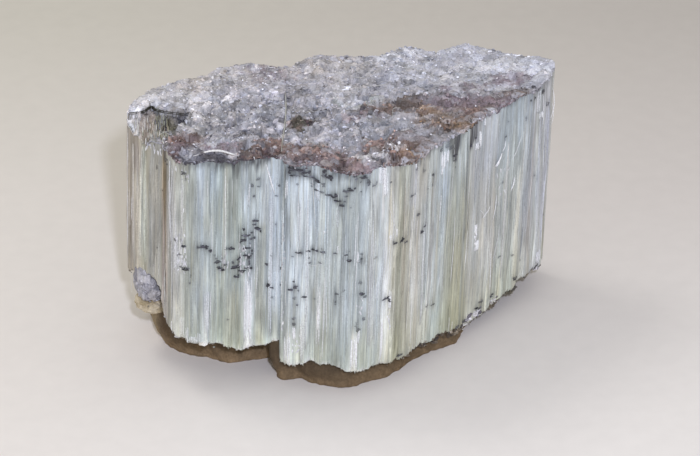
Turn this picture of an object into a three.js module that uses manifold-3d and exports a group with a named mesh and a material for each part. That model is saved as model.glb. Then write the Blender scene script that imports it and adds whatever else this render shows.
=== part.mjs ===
// Cross-fibre asbestos specimen: a hand-sized block broken out of a mineral vein.
// Silky parallel fibres stand upright between two vein walls. The upper wall is a
// granular mica-rich crust. The lower wall is a thin dark crust, set back under
// the fibre ends, on which the block rests.
//
// Units: millimetres. +Z up, +X along the long side, -Y is the broad broken front.
// Origin: centre of the bounding box in plan, on the resting plane.

import * as THREE from 'three';
import { mergeVertices } from 'three/addons/utils/BufferGeometryUtils.js';
import Module from 'manifold-3d';

// ---------------------------------------------------------------- dimensions
const CRUST_TOP = 47.0;          // height of the upper wall at the middle
const TOP_FALL = 0.03;           // fall of the upper wall towards +X, mm per mm
const TOP_RELIEF = 0.55;         // roughness of the upper wall, +- mm
const LEAN_DEG = 1.7;            // lean of the fibres towards +X
const FLUTE_DEPTH = 0.34;        // depth of the ribs that the fibre bundles make
const OUTLINE_STEP = 1.25;       // spacing of the outline's points
const GRID_STEP = 2.3;           // spacing of the upper and lower relief grids
const CRUST_CHUNK = [6.8, 8.8, 8.8];   // lump of wall rock under the left end
const NOTCH = [9.0, 7.6, 8.4];   // hollow broken into the upper wall at the left end

// Outline of the fibre block in plan at the level of the upper wall, anticlockwise
// from the left end: [x, y].
const OUTLINE = [
  [-39.2, -1.4], [-38.2, -4.2], [-36.4, -6.4], [-34.7, -9.0], [-33.4, -10.4],
  [-32.2, -10.9], [-31.9, -13.2], [-31.0, -15.6], [-29.6, -17.4], [-27.8, -18.3],
  [-25.1, -18.9], [-21.5, -18.4], [-18.0, -17.8], [-15.0, -17.5], [-12.6, -17.4],
  [-10.6, -18.0], [-10.25, -17.2], [-9.8, -19.0], [-7.2, -20.0], [-3.7, -20.2],
  [-1.5, -21.2], [0.8, -21.9], [2.6, -21.9], [4.4, -21.3], [6.2, -20.2],
  [8.0, -18.9], [10.6, -17.6], [12.5, -15.8], [14.3, -13.4], [16.2, -11.2],
  [18.0, -9.0], [20.8, -6.5], [23.6, -4.0], [26.5, 0.2], [29.4, 3.5],
  [33.4, 8.3], [36.3, 11.3], [38.3, 14.5], [39.9, 17.5], [40.6, 19.8],
  [40.0, 22.2], [37.9, 24.0], [34.1, 25.2], [30.4, 26.7], [26.6, 28.1],
  [23.8, 28.8], [20.8, 27.6], [17.0, 27.2], [13.6, 28.0], [11.3, 26.8],
  [8.4, 24.8], [3.6, 23.4], [-0.2, 22.8], [-2.5, 23.2], [-5.9, 21.5],
  [-9.6, 18.8], [-12.5, 18.6], [-17.2, 19.2], [-21.9, 17.6], [-24.6, 15.0],
  [-28.2, 12.8], [-31.0, 11.1], [-33.6, 8.5], [-36.2, 5.1], [-38.3, 2.2],
];

// Broad rises (+) and dips (-) of the upper wall: [x, y, radius x, radius y, height].
const RISES = [
  [23, 29, 5, 4, 0.75], [16.5, 27, 2.6, 4, -0.55], [41, 22, 6, 6, 1.3],
  [-37, 4.5, 4, 4.5, 0.8], [-10, 19, 4, 5, -0.4], [-5.5, -20.5, 3.6, 3, 1.3],
  [-12.4, -19, 2.4, 2.2, 1.2], [-23.5, -19, 4, 2.2, 0.4], [25.5, -3, 3.5, 3.5, 0.7],
  [30.5, 3, 3.5, 3.5, 0.9], [35.5, 8.5, 3.5, 3.5, 1.0], [39.5, 14, 3, 3.5, 0.9], [7, -19, 2.6, 2.6, 0.7],
];

// Height of the broken fibre ends above the resting plane, along X on the front.
const FIBRE_END = [
  [-41, 14.2], [-39.2, 14.8], [-37.7, 16.6], [-36.2, 17.4], [-34.6, 18.5],
  [-33.6, 17.6], [-32.7, 16.3], [-32.0, 14.2], [-31.8, 12.4], [-30.9, 10.9],
  [-30.1, 10.6], [-29.3, 10.2], [-28.6, 9.9], [-27.9, 10.1], [-27.1, 9.9],
  [-26.3, 9.1], [-24.9, 9.1], [-22.7, 9.2], [-21.9, 9.3], [-20.4, 8.3],
  [-19.7, 7.9], [-18.3, 7.1], [-16.8, 7.1], [-15.3, 7.7], [-13.8, 7.5],
  [-12.3, 8.1], [-11.6, 8.7], [-10.6, 8.8], [-10.15, 4.9], [-9.2, 4.9],
  [-7.8, 5.0], [-5.6, 5.5], [-4.9, 6.0], [-4.1, 6.2], [-2.6, 5.8],
  [-1.9, 6.0], [0.3, 5.7], [1.1, 5.5], [1.8, 4.8], [4.0, 4.5],
  [6.3, 4.2], [7.0, 4.7], [8.1, 5.0], [9.3, 4.3], [10.0, 4.0],
  [11.5, 4.2], [13.1, 3.6], [13.8, 3.5], [14.5, 4.5], [15.3, 3.8],
  [16.1, 4.5], [16.9, 3.9], [18.3, 3.1], [19.2, 3.7], [19.9, 3.9],
  [21.5, 3.4], [23.1, 3.0], [24.7, 2.9], [27.1, 2.6], [29.7, 3.1],
  [31.7, 3.3], [32.9, 3.9], [34.2, 3.9], [35.4, 4.6], [36.6, 5.1],
  [37.9, 5.2], [39.2, 4.8], [40.1, 4.6], [42, 4.4],
];
const FIBRE_END_BACK = 4.2;      // the same on the back half

// Outline of the lower wall where it rests: [x, y].
const FOOT = [
  [-36.8, 6.2], [-35.9, 4.8], [-35.3, 2.4], [-34.6, -0.5], [-33.7, -3.8], [-32.0, -5.9], [-29.7, -7.8], [-27.4, -8.8],
  [-25.2, -8.9], [-22.6, -10.7], [-20.7, -11.2], [-17.1, -10.3], [-13.5, -9.3],
  [-12.1, -9.8], [-12.1, -12.0], [-12.1, -14.6], [-11.9, -16.2], [-10.7, -17.1], [-7.7, -16.5],
  [-5.6, -17.9], [-3.6, -19.0], [-1.6, -19.5], [0.8, -19.8], [2.6, -19.4],
  [4.0, -18.2], [6.0, -17.1], [8.2, -16.3], [9.7, -14.7], [11.2, -13.6],
  [12.2, -11.6], [13.6, -10.1], [15.1, -8.7], [16.9, -7.1], [18.8, -6.3],
  [20.3, -5.0], [21.8, -4.2], [22.7, -0.9], [24.6, 4.4], [27.0, 9.2],
  [30.4, 13.4], [32.8, 17.0], [33.8, 20.0], [31.6, 23.0], [25.4, 25.2],
  [20.0, 24.6], [13.0, 24.6], [7.0, 21.6], [0.0, 20.0], [-6.0, 18.6],
  [-12.0, 16.0], [-18.0, 15.8], [-24.0, 12.4], [-29.6, 9.8], [-34.0, 8.2],
];

// --------------------------------------------------------------- small tools
function makeRandom(seed) {
  let s = seed >>> 0;
  return () => {
    s = (s + 0x6d2b79f5) >>> 0;
    let t = s;
    t = Math.imul(t ^ (t >>> 15), t | 1);
    t ^= t + Math.imul(t ^ (t >>> 7), t | 61);
    return ((t ^ (t >>> 14)) >>> 0) / 4294967296;
  };
}

function lattice(ix, iy, seed) {
  let h = Math.imul(ix | 0, 374761393) ^ Math.imul(iy | 0, 668265263) ^ Math.imul(seed, 2246822519);
  h = Math.imul(h ^ (h >>> 13), 1274126177);
  return ((h ^ (h >>> 16)) >>> 0) / 2147483648 - 1;
}

function noise(x, y, seed) {
  const ix = Math.floor(x), iy = Math.floor(y);
  const fx = x - ix, fy = y - iy;
  const u = fx * fx * (3 - 2 * fx), v = fy * fy * (3 - 2 * fy);
  const a = lattice(ix, iy, seed), b = lattice(ix + 1, iy, seed);
  const c = lattice(ix, iy + 1, seed), d = lattice(ix + 1, iy + 1, seed);
  return (a * (1 - u) + b * u) * (1 - v) + (c * (1 - u) + d * u) * v;
}

function table(rows, x) {
  if (x <= rows[0][0]) return rows[0][1];
  for (let i = 1; i < rows.length; i++) {
    if (x <= rows[i][0]) {
      const [x0, y0] = rows[i - 1], [x1, y1] = rows[i];
      return y0 + (y1 - y0) * (x - x0) / (x1 - x0);
    }
  }
  return rows[rows.length - 1][1];
}

const smooth = (t) => { const c = Math.min(1, Math.max(0, t)); return c * c * (3 - 2 * c); };

// Points along a closed outline at an even step, corners kept, each pushed out or
// in by a rib depth.
function ribbed(outline, step, depth, seed) {
  const random = makeRandom(seed);
  const points = [];
  for (let i = 0; i < outline.length; i++) {
    const [x0, y0] = outline[i], [x1, y1] = outline[(i + 1) % outline.length];
    const length = Math.hypot(x1 - x0, y1 - y0);
    const count = Math.max(1, Math.round(length / step));
    const nx = (y1 - y0) / length, ny = -(x1 - x0) / length;
    for (let k = 0; k < count; k++) {
      const t = k / count;
      const push = (random() * 2 - 1) * depth;
      points.push(new THREE.Vector2(x0 + (x1 - x0) * t + nx * push, y0 + (y1 - y0) * t + ny * push));
    }
  }
  return points;
}

// ------------------------------------------------------------ closed pieces
const wasm = await Module();
wasm.setup();

function toSolid(geometry) {
  const bare = new THREE.BufferGeometry();
  bare.setAttribute('position', geometry.getAttribute('position').clone());
  if (geometry.index) bare.setIndex(geometry.index.clone());
  const merged = mergeVertices(bare, 1e-4);
  return new wasm.Manifold(new wasm.Mesh({
    numProp: 3,
    vertProperties: new Float32Array(merged.getAttribute('position').array),
    triVerts: new Uint32Array(merged.index.array),
  }));
}

function toGeometry(solid) {
  const mesh = solid.getMesh();
  const geometry = new THREE.BufferGeometry();
  geometry.setAttribute('position', new THREE.BufferAttribute(new Float32Array(mesh.vertProperties), 3));
  geometry.setIndex(new THREE.BufferAttribute(new Uint32Array(mesh.triVerts), 1));
  return geometry;
}

function upright(points, z0, z1) {
  const geometry = new THREE.ExtrudeGeometry(new THREE.Shape(points), { depth: z1 - z0, bevelEnabled: false });
  geometry.translate(0, 0, z0);
  return geometry;
}

// A rough lump: an icosahedron squeezed to size and roughened.
function lump(size, centre, detail, rough, seed) {
  const geometry = mergeVertices((() => {
    const g = new THREE.IcosahedronGeometry(0.5, detail);
    g.deleteAttribute('normal'); g.deleteAttribute('uv');
    return g;
  })(), 1e-4);
  const p = geometry.getAttribute('position');
  const random = makeRandom(seed);
  for (let i = 0; i < p.count; i++) {
    const k = 1 + (random() * 2 - 1) * rough;
    p.setXYZ(i, p.getX(i) * size[0] * k, p.getY(i) * size[1] * k, p.getZ(i) * size[2] * k);
  }
  geometry.translate(...centre);
  return geometry;
}

// Upper wall: nearly level, a little lower towards +X, with shallow relief, and
// rolled down at its rim on the front.
function upperWall(x, y) {
  let z = CRUST_TOP - TOP_FALL * x;
  z += TOP_RELIEF * (0.65 * noise(x / 5.5, y / 5.5, 3) + 0.5 * noise(x / 2.6, y / 2.6, 7));
  for (const [cx, cy, rx, ry, rise] of RISES) {
    z += rise * Math.exp(-(((x - cx) / rx) ** 2 + ((y - cy) / ry) ** 2));
  }
  z -= 0.8 * smooth(1 - (frontDistance(x, y)) / 2.2);
  return z;
}

// Underside of the fibres: broken at varied heights on the front, level behind.
function fibreEnds(x, y) {
  const front = table(FIBRE_END, x);
  const back = FIBRE_END_BACK + 0.5 * noise(x / 4, y / 4, 11);
  const t = smooth((y - 2) / 16);
  return front * (1 - t) + back * t + 0.25 * noise(x / 1.9, y / 1.9, 5);
}

function frontDistance(x, y) {
  let best = 1e9;
  for (let i = 0; i < 40; i++) {
    const [x0, y0] = OUTLINE[i], [x1, y1] = OUTLINE[i + 1];
    const dx = x1 - x0, dy = y1 - y0;
    const t = Math.min(1, Math.max(0, ((x - x0) * dx + (y - y0) * dy) / (dx * dx + dy * dy)));
    best = Math.min(best, Math.hypot(x - x0 - dx * t, y - y0 - dy * t));
  }
  return best;
}

// Slab between the two walls: a box whose upper and lower faces carry the relief.
function wallsSlab() {
  const width = 92, depth = 62;
  const nx = Math.round(width / GRID_STEP), ny = Math.round(depth / GRID_STEP);
  const geometry = new THREE.BoxGeometry(width, depth, 2, nx, ny, 1);
  geometry.deleteAttribute('normal'); geometry.deleteAttribute('uv');
  const slab = mergeVertices(geometry, 1e-4);
  const p = slab.getAttribute('position');
  for (let i = 0; i < p.count; i++) {
    let x = p.getX(i) + 0.37;
    const y = p.getY(i) + 4.1;
    // grid lines drawn in to both sides of the crack on the front
    if (Math.abs(x + 9.1) < GRID_STEP * 0.51) x = -10.15;
    else if (Math.abs(x + 9.1 + GRID_STEP) < GRID_STEP * 0.51) x = -10.6;
    p.setXYZ(i, x, y, p.getZ(i) > 0 ? upperWall(x, y) : fibreEnds(x, y));
  }
  return slab;
}

// ---------------------------------------------------------------- the block
const fibres = toSolid(upright(ribbed(OUTLINE, OUTLINE_STEP, FLUTE_DEPTH, 21), -5, 70));
const slab = toSolid(wallsSlab());
const foot = toSolid(upright(ribbed(FOOT, 2.4, 0.22, 33), 0, 22));
const chunk = toSolid(lump(CRUST_CHUNK, [-34.4, -5.2, 15.0], 2, 0.09, 41));
const notch = toSolid(lump(NOTCH, [-33.0, -6.1, 48.6], 2, 0.12, 57));
const notchTail = toSolid(lump([6.4, 5.0, 5.6], [-28.9, -4.4, 48.2], 2, 0.12, 58));

const block = fibres.intersect(slab).add(foot).add(chunk).subtract(notch).subtract(notchTail);

const geometry = toGeometry(block);
const position = geometry.getAttribute('position');
const lean = Math.tan(THREE.MathUtils.degToRad(LEAN_DEG));
for (let i = 0; i < position.count; i++) {
  const z = position.getZ(i);
  position.setX(i, position.getX(i) - lean * (CRUST_TOP - z) * smooth(z / 4));
}
geometry.computeBoundingBox();
const centre = geometry.boundingBox.getCenter(new THREE.Vector3());
geometry.translate(-centre.x, -centre.y, -geometry.boundingBox.min.z);
geometry.computeVertexNormals();

const stone = new THREE.MeshStandardMaterial({ color: 0xabb0ae, roughness: 0.55, metalness: 0.0 });
const mesh = new THREE.Mesh(geometry, stone);
mesh.name = 'fibre_block';

const specimen = new THREE.Group();
specimen.add(mesh);

export default specimen;
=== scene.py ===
# Cross-fibre asbestos specimen: looks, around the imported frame.
# Working units in this script are millimetres in the drawing frame of the block
# (upright fibres before the lean); to_frame() turns them into metres in the
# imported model's frame. Everything random is seeded.

import math

import bpy
import numpy as np
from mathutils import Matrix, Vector


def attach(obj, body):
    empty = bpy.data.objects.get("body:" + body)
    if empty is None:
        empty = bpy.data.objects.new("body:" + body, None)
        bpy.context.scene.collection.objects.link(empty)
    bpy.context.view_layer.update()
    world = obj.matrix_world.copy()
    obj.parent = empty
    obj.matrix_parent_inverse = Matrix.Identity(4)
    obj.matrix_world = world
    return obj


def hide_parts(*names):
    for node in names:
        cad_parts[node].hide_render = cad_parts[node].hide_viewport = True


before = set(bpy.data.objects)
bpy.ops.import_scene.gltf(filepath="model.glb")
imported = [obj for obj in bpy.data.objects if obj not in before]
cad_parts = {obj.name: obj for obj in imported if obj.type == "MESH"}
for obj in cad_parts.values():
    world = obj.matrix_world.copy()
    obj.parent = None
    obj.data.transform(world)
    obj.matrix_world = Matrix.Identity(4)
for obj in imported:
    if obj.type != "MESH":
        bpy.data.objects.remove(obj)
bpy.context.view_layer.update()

# ------------------------------------------------------------------ dimensions
LEAN = math.tan(math.radians(1.7))
CRUST_TOP = 47.0
SHIFT = (0.29988, 3.23299)          # centring of the part in plan

OUTLINE = [
    (-39.2, -1.4), (-38.2, -4.2), (-36.4, -6.4), (-34.7, -9.0), (-33.4, -10.4),
    (-32.2, -10.9), (-31.9, -13.2), (-31.0, -15.6), (-29.6, -17.4), (-27.8, -18.3),
    (-25.1, -18.9), (-21.5, -18.4), (-18.0, -17.8), (-15.0, -17.5), (-12.6, -17.4),
    (-10.6, -18.0), (-10.25, -17.2), (-9.8, -19.0), (-7.2, -20.0), (-3.7, -20.2),
    (-1.5, -21.2), (0.8, -21.9), (2.6, -21.9), (4.4, -21.3), (6.2, -20.2),
    (8.0, -18.9), (10.6, -17.6), (12.5, -15.8), (14.3, -13.4), (16.2, -11.2),
    (18.0, -9.0), (20.8, -6.5), (23.6, -4.0), (26.5, 0.2), (29.4, 3.5),
    (33.4, 8.3), (36.3, 11.3), (38.3, 14.5), (39.9, 17.5), (40.6, 19.8),
    (40.0, 22.2), (37.9, 24.0), (34.1, 25.2), (30.4, 26.7), (26.6, 28.1),
    (23.8, 28.8), (20.8, 27.6), (17.0, 27.2), (13.6, 28.0), (11.3, 26.8),
    (8.4, 24.8), (3.6, 23.4), (-0.2, 22.8), (-2.5, 23.2), (-5.9, 21.5),
    (-9.6, 18.8), (-12.5, 18.6), (-17.2, 19.2), (-21.9, 17.6), (-24.6, 15.0),
    (-28.2, 12.8), (-31.0, 11.1), (-33.6, 8.5), (-36.2, 5.1), (-38.3, 2.2),
]
FRONT_LENGTH = 111.9                # outline length from the left end to the right corner

FIBRE_END = [
    (-41, 14.2), (-39.2, 14.8), (-37.7, 16.6), (-36.2, 17.4), (-34.6, 18.5), (-33.6, 17.6), (-32.7, 16.3), (-32.0, 14.2),
    (-31.8, 12.4), (-30.9, 10.9), (-30.1, 10.6), (-29.3, 10.2), (-28.6, 9.9), (-27.9, 10.1), (-27.1, 9.9), (-26.3, 9.1),
    (-24.9, 9.1), (-22.7, 9.2), (-21.9, 9.3), (-20.4, 8.3), (-19.7, 7.9), (-18.3, 7.1), (-16.8, 7.1), (-15.3, 7.7),
    (-13.8, 7.5), (-12.3, 8.1), (-11.6, 8.7), (-10.6, 8.8), (-10.15, 4.9), (-9.2, 4.9), (-7.8, 5.0), (-5.6, 5.5),
    (-4.9, 6.0), (-4.1, 6.2), (-2.6, 5.8), (-1.9, 6.0), (0.3, 5.7), (1.1, 5.5), (1.8, 4.8), (4.0, 4.5),
    (6.3, 4.2), (7.0, 4.7), (8.1, 5.0), (9.3, 4.3), (10.0, 4.0), (11.5, 4.2), (13.1, 3.6), (13.8, 3.5),
    (14.5, 4.5), (15.3, 3.8), (16.1, 4.5), (16.9, 3.9), (18.3, 3.1), (19.2, 3.7), (19.9, 3.9), (21.5, 3.4),
    (23.1, 3.0), (24.7, 2.9), (27.1, 2.6), (29.7, 3.1), (31.7, 3.3), (32.9, 3.9), (34.2, 3.9), (35.4, 4.6),
    (36.6, 5.1), (37.9, 5.2), (39.2, 4.8), (40.1, 4.6), (42, 4.4),
]
FIBRE_END_BACK = 4.2

FOOT = [
    (-36.8, 6.2), (-35.9, 4.8), (-35.3, 2.4), (-34.6, -0.5), (-33.7, -3.8), (-32.0, -5.9), (-29.7, -7.8), (-27.4, -8.8),
    (-25.2, -8.9), (-22.6, -10.7), (-20.7, -11.2), (-17.1, -10.3), (-13.5, -9.3), (-12.1, -9.8), (-12.1, -12.0), (-12.1, -14.6),
    (-11.9, -16.2), (-10.7, -17.1), (-7.7, -16.5), (-5.6, -17.9), (-3.6, -19.0), (-1.6, -19.5), (0.8, -19.8), (2.6, -19.4),
    (4.0, -18.2), (6.0, -17.1), (8.2, -16.3), (9.7, -14.7), (11.2, -13.6), (12.2, -11.6), (13.6, -10.1), (15.1, -8.7),
    (16.9, -7.1), (18.8, -6.3), (20.3, -5.0), (21.8, -4.2), (22.7, -0.9), (24.6, 4.4), (27.0, 9.2), (30.4, 13.4),
    (32.8, 17.0), (33.8, 20.0), (31.6, 23.0), (25.4, 25.2),
    (20.0, 24.6), (13.0, 24.6), (7.0, 21.6), (0.0, 20.0), (-6.0, 18.6),
    (-12.0, 16.0), (-18.0, 15.8), (-24.0, 12.4), (-29.6, 9.8), (-34.0, 8.2),
]

# How far the upper wall hangs down over the fibres, below the plane of its top: (s, mm).
RIM_HANG = [
    (0, 0.4), (1.7, 0.35), (5.5, 0.5), (9.2, 0.5), (11.6, 0.4), (16, 0.6), (18.6, 1.0), (19.9, 1.4), (21.7, 1.2),
    (23.2, 0.7), (25, 0.35), (28.6, 0.7), (30.2, 1.2), (31.6, 0.3), (35.8, 0.2), (39.4, 0.1), (42.4, 0.2),
    (60.6, 0.3), (63.7, 0.8), (66.2, 1.1), (69.3, 1.7), (71.5, 1.0), (75, 1.2), (78.7, 0.4), (81.2, 0.8),
    (83.3, 1.0), (86.7, 1.1), (88, 0.3), (96.6, 0.3), (102.5, 0.9), (106.4, 1.0), (109.6, 0.8), (112, 0.6),
    (130, 0.9), (150, 0.6), (170, 1.0), (190, 0.7), (207.4, 0.5),
]
# Painted shadow on the fibres just under the wall's rim: s from, s to, depth in mm, strength.
UNDER = [
    (18.6, 21.0, 1.6, 0.55), (20.6, 24.6, 2.0, 0.7), (24.4, 27.0, 1.6, 0.7), (26.6, 31.4, 1.9, 0.75), (31.4, 36.8, 1.8, 0.8),
    (41.6, 46.4, 2.4, 0.75), (46.0, 50.0, 1.0, 0.2), (50.2, 54.0, 2.6, 0.8), (52.0, 58.0, 2.2, 0.45), (62.6, 68.0, 1.0, 0.45), (68.0, 72.6, 2.3, 0.8), (72.0, 80.5, 1.8, 0.65),
    (78.3, 79.9, 3.9, 0.90), (83.0, 84.0, 4.2, 0.90), (84.9, 85.7, 3.2, 0.80), (80.6, 87.0, 1.2, 0.40), (87.0, 100.0, 0.8, 0.45), (100.0, 110.8, 1.8, 0.45), (114.0, 204.0, 1.4, 0.40),
]


# Tall dark streaks in the fibres: painted shade under the wall and in the crack, and thin dark lines lower down: s,
# half width, lowest z, highest z, strength.
STREAKS = [
    (79.3, 1.15, 41.4, 46.6, 1.0), (79.2, 0.55, 40.2, 42.0, 0.9), (83.5, 0.50, 41.2, 46.6, 1.0), (84.9, 0.60, 42.2, 46.6, 0.95),
    (77.2, 0.9, 43.8, 46.4, 0.6), (75.4, 0.5, 43.6, 46.0, 0.5), (68.2, 0.35, 42.4, 45.6, 0.4), (70.6, 0.35, 41.0, 44.0, 0.3),
    (26.0, 0.22, 34.0, 46.5, 0.35), (14.6, 1.1, 43.6, 46.8, 0.75), (41.4, 0.16, 30.0, 46.5, 0.8), (56.6, 0.3, 42.6, 46.0, 0.5),
    (17.9, 0.14, 30.0, 44.0, 0.5), (9.6, 0.16, 14.0, 40.0, 0.35), (82.6, 0.16, 20.0, 42.0, 0.3), (64.2, 0.2, 8.0, 30.0, 0.25),
    (73.8, 0.14, 10.0, 30.0, 0.35), (29.4, 0.2, 18.0, 44.0, 0.3), (35.6, 0.2, 8.0, 28.0, 0.25), (52.4, 0.14, 18.0, 40.0, 0.3),
]


# ------------------------------------------------------------------ small tools
def smooth(t):
    t = np.clip(t, 0.0, 1.0)
    return t * t * (3 - 2 * t)


def srgb(r, g, b):
    """A display colour as scene-linear values."""
    c = np.array([r, g, b], float) / 255.0
    return np.where(c <= 0.04045, c / 12.92, ((c + 0.055) / 1.055) ** 2.4)


def hashed(a, b=0, c=0, seed=0):
    """Repeatable random numbers in [0, 1) for whole-number arrays."""
    a = np.asarray(np.floor(a), np.int64)
    b = np.asarray(np.floor(b), np.int64)
    c = np.asarray(np.floor(c), np.int64)
    m = np.int64(0xFFFFFFFF)
    h = (a * 374761393 + b * 668265263 + c * 362437 + seed * 97531) & m
    for _ in range(2):
        h = h ^ (h >> 15)
        h = (h * 1274126177) & m
        h = h ^ (h >> 13)
    return (h & m) / 4294967296.0


def noise1(x, seed=0):
    i = np.floor(x)
    f = x - i
    u = f * f * (3 - 2 * f)
    return (hashed(i, 0, 0, seed) * (1 - u) + hashed(i + 1, 0, 0, seed) * u) * 2 - 1


def noise2(x, y, seed=0):
    ix, iy = np.floor(x), np.floor(y)
    fx, fy = x - ix, y - iy
    u, v = fx * fx * (3 - 2 * fx), fy * fy * (3 - 2 * fy)
    a = hashed(ix, iy, 0, seed) * (1 - u) + hashed(ix + 1, iy, 0, seed) * u
    b = hashed(ix, iy + 1, 0, seed) * (1 - u) + hashed(ix + 1, iy + 1, 0, seed) * u
    return (a * (1 - v) + b * v) * 2 - 1


def noise3(x, y, z, seed=0):
    iz = np.floor(z)
    fz = z - iz
    w = fz * fz * (3 - 2 * fz)

    def layer(k):
        ix, iy = np.floor(x), np.floor(y)
        fx, fy = x - ix, y - iy
        u, v = fx * fx * (3 - 2 * fx), fy * fy * (3 - 2 * fy)
        a = hashed(ix, iy, k, seed) * (1 - u) + hashed(ix + 1, iy, k, seed) * u
        b = hashed(ix, iy + 1, k, seed) * (1 - u) + hashed(ix + 1, iy + 1, k, seed) * u
        return a * (1 - v) + b * v

    return (layer(iz) * (1 - w) + layer(iz + 1) * w) * 2 - 1


def fbm2(x, y, octaves, seed=0):
    total, size, span = 0.0, 1.0, 0.0
    for k in range(octaves):
        total = total + size * noise2(x * 2 ** k, y * 2 ** k, seed + 31 * k)
        span += size
        size *= 0.55
    return total / span


def mix(a, b, t):
    return a + (b - a) * t


def to_frame(p):
    """Drawing-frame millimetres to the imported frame's metres."""
    q = np.array(p, float)
    q[..., 0] = q[..., 0] - LEAN * (CRUST_TOP - q[..., 2]) * smooth(q[..., 2] / 4) - SHIFT[0]
    q[..., 1] = q[..., 1] - SHIFT[1]
    return q * 0.001


def make_mesh(name, points, faces, material, tint=None, extra=None, uv=None, flat=False):
    """One object from numpy data. points: drawing-frame mm. faces: list of (n, k) index arrays.
    tint: (n, 3) point colours. extra: {name: (n,) or (n, 3)}. uv: list like faces, (n, k, 2)."""
    mesh = bpy.data.meshes.new(name)
    co = to_frame(points).astype(np.float32)
    mesh.vertices.add(len(co))
    mesh.vertices.foreach_set("co", co.ravel())
    loops = np.concatenate([np.asarray(f).ravel() for f in faces]).astype(np.int32)
    counts = np.concatenate([np.full(len(f), np.asarray(f).shape[1]) for f in faces]).astype(np.int32)
    starts = np.concatenate([[0], np.cumsum(counts)[:-1]]).astype(np.int32)
    mesh.loops.add(len(loops))
    mesh.loops.foreach_set("vertex_index", loops)
    mesh.polygons.add(len(counts))
    mesh.polygons.foreach_set("loop_start", starts)
    mesh.update(calc_edges=True)
    mesh.polygons.foreach_set("use_smooth", np.full(len(counts), not flat, dtype=bool))
    if tint is not None:
        layer = mesh.color_attributes.new(name="tint", type="FLOAT_COLOR", domain="POINT")
        rgba = np.ones((len(co), 4), np.float32)
        rgba[:, :3] = tint
        layer.data.foreach_set("color", rgba.ravel())
    for key, value in (extra or {}).items():
        value = np.asarray(value, np.float32)
        if value.ndim == 1:
            layer = mesh.attributes.new(key, "FLOAT", "POINT")
            layer.data.foreach_set("value", value)
        else:
            layer = mesh.attributes.new(key, "FLOAT_VECTOR", "POINT")
            layer.data.foreach_set("vector", value.ravel())
    if uv is not None:
        layer = mesh.uv_layers.new(name="OFBake")
        flatuv = np.concatenate([np.asarray(u, np.float32).reshape(-1, 2) for u in uv])
        layer.data.foreach_set("uv", flatuv.ravel())
    mesh.materials.append(material)
    mesh.update()
    obj = bpy.data.objects.new(name, mesh)
    bpy.context.scene.collection.objects.link(obj)
    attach(obj, "root")
    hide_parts("fibre_block")
    return obj


def cell_uv(count, faces_per, shapes):
    """A UV square for each of count small things; every face of one takes its whole square."""
    side = int(math.ceil(math.sqrt(count)))
    index = np.arange(count)
    corner = np.stack([index % side, index // side], 1) / side
    out = []
    for per, k in zip(faces_per, shapes):
        angle = 2 * math.pi * np.arange(k) / k + 0.3
        ring = np.stack([0.5 + 0.42 * np.cos(angle), 0.5 + 0.42 * np.sin(angle)], 1) / side
        uv = corner[:, None, None, :] + ring[None, None, :, :]
        out.append(np.broadcast_to(uv, (count, per, k, 2)).reshape(-1, k, 2))
    return out


# -------------------------------------------------------------------- materials
def node_tools(name):
    material = bpy.data.materials.new(name)
    material.use_nodes = True
    tree = material.node_tree
    tree.nodes.clear()

    def add(kind, **sets):
        node = tree.nodes.new(kind)
        for key, value in sets.items():
            setattr(node, key, value)
        return node

    def link(a, b):
        tree.links.new(a, b)

    def value(socket, v):
        if isinstance(v, bpy.types.NodeSocket):
            link(v, socket)
        else:
            socket.default_value = v

    def calc(op, a, b=None, c=None, clamp=False):
        node = add("ShaderNodeMath", operation=op, use_clamp=clamp)
        value(node.inputs[0], a)
        if b is not None:
            value(node.inputs[1], b)
        if c is not None:
            value(node.inputs[2], c)
        return node.outputs[0]

    def ramp(fac, stops, interpolation="LINEAR"):
        node = add("ShaderNodeValToRGB")
        node.color_ramp.interpolation = interpolation
        while len(node.color_ramp.elements) < len(stops):
            node.color_ramp.elements.new(0.5)
        for element, (place, colour) in zip(node.color_ramp.elements, stops):
            element.position = place
            element.color = (*colour, 1) if len(colour) == 3 else colour
        value(node.inputs[0], fac)
        return node

    def blend(kind, fac, a, b):
        node = add("ShaderNodeMix", data_type="RGBA", blend_type=kind)
        value(node.inputs[0], fac)
        value(node.inputs[6], a)
        value(node.inputs[7], b)
        return node.outputs[2]

    def vec(op, a, b=None):
        node = add("ShaderNodeVectorMath", operation=op)
        value(node.inputs[0], a)
        if b is not None:
            value(node.inputs[1], b)
        return node.outputs[0]

    def noise(vector, scale, detail=2.0, rough=0.5):
        node = add("ShaderNodeTexNoise")
        node.inputs["Scale"].default_value = scale
        node.inputs["Detail"].default_value = detail
        node.inputs["Roughness"].default_value = rough
        value(node.inputs["Vector"], vector)
        return node.outputs["Fac"]

    return material, add, link, value, calc, ramp, blend, vec, noise


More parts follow.
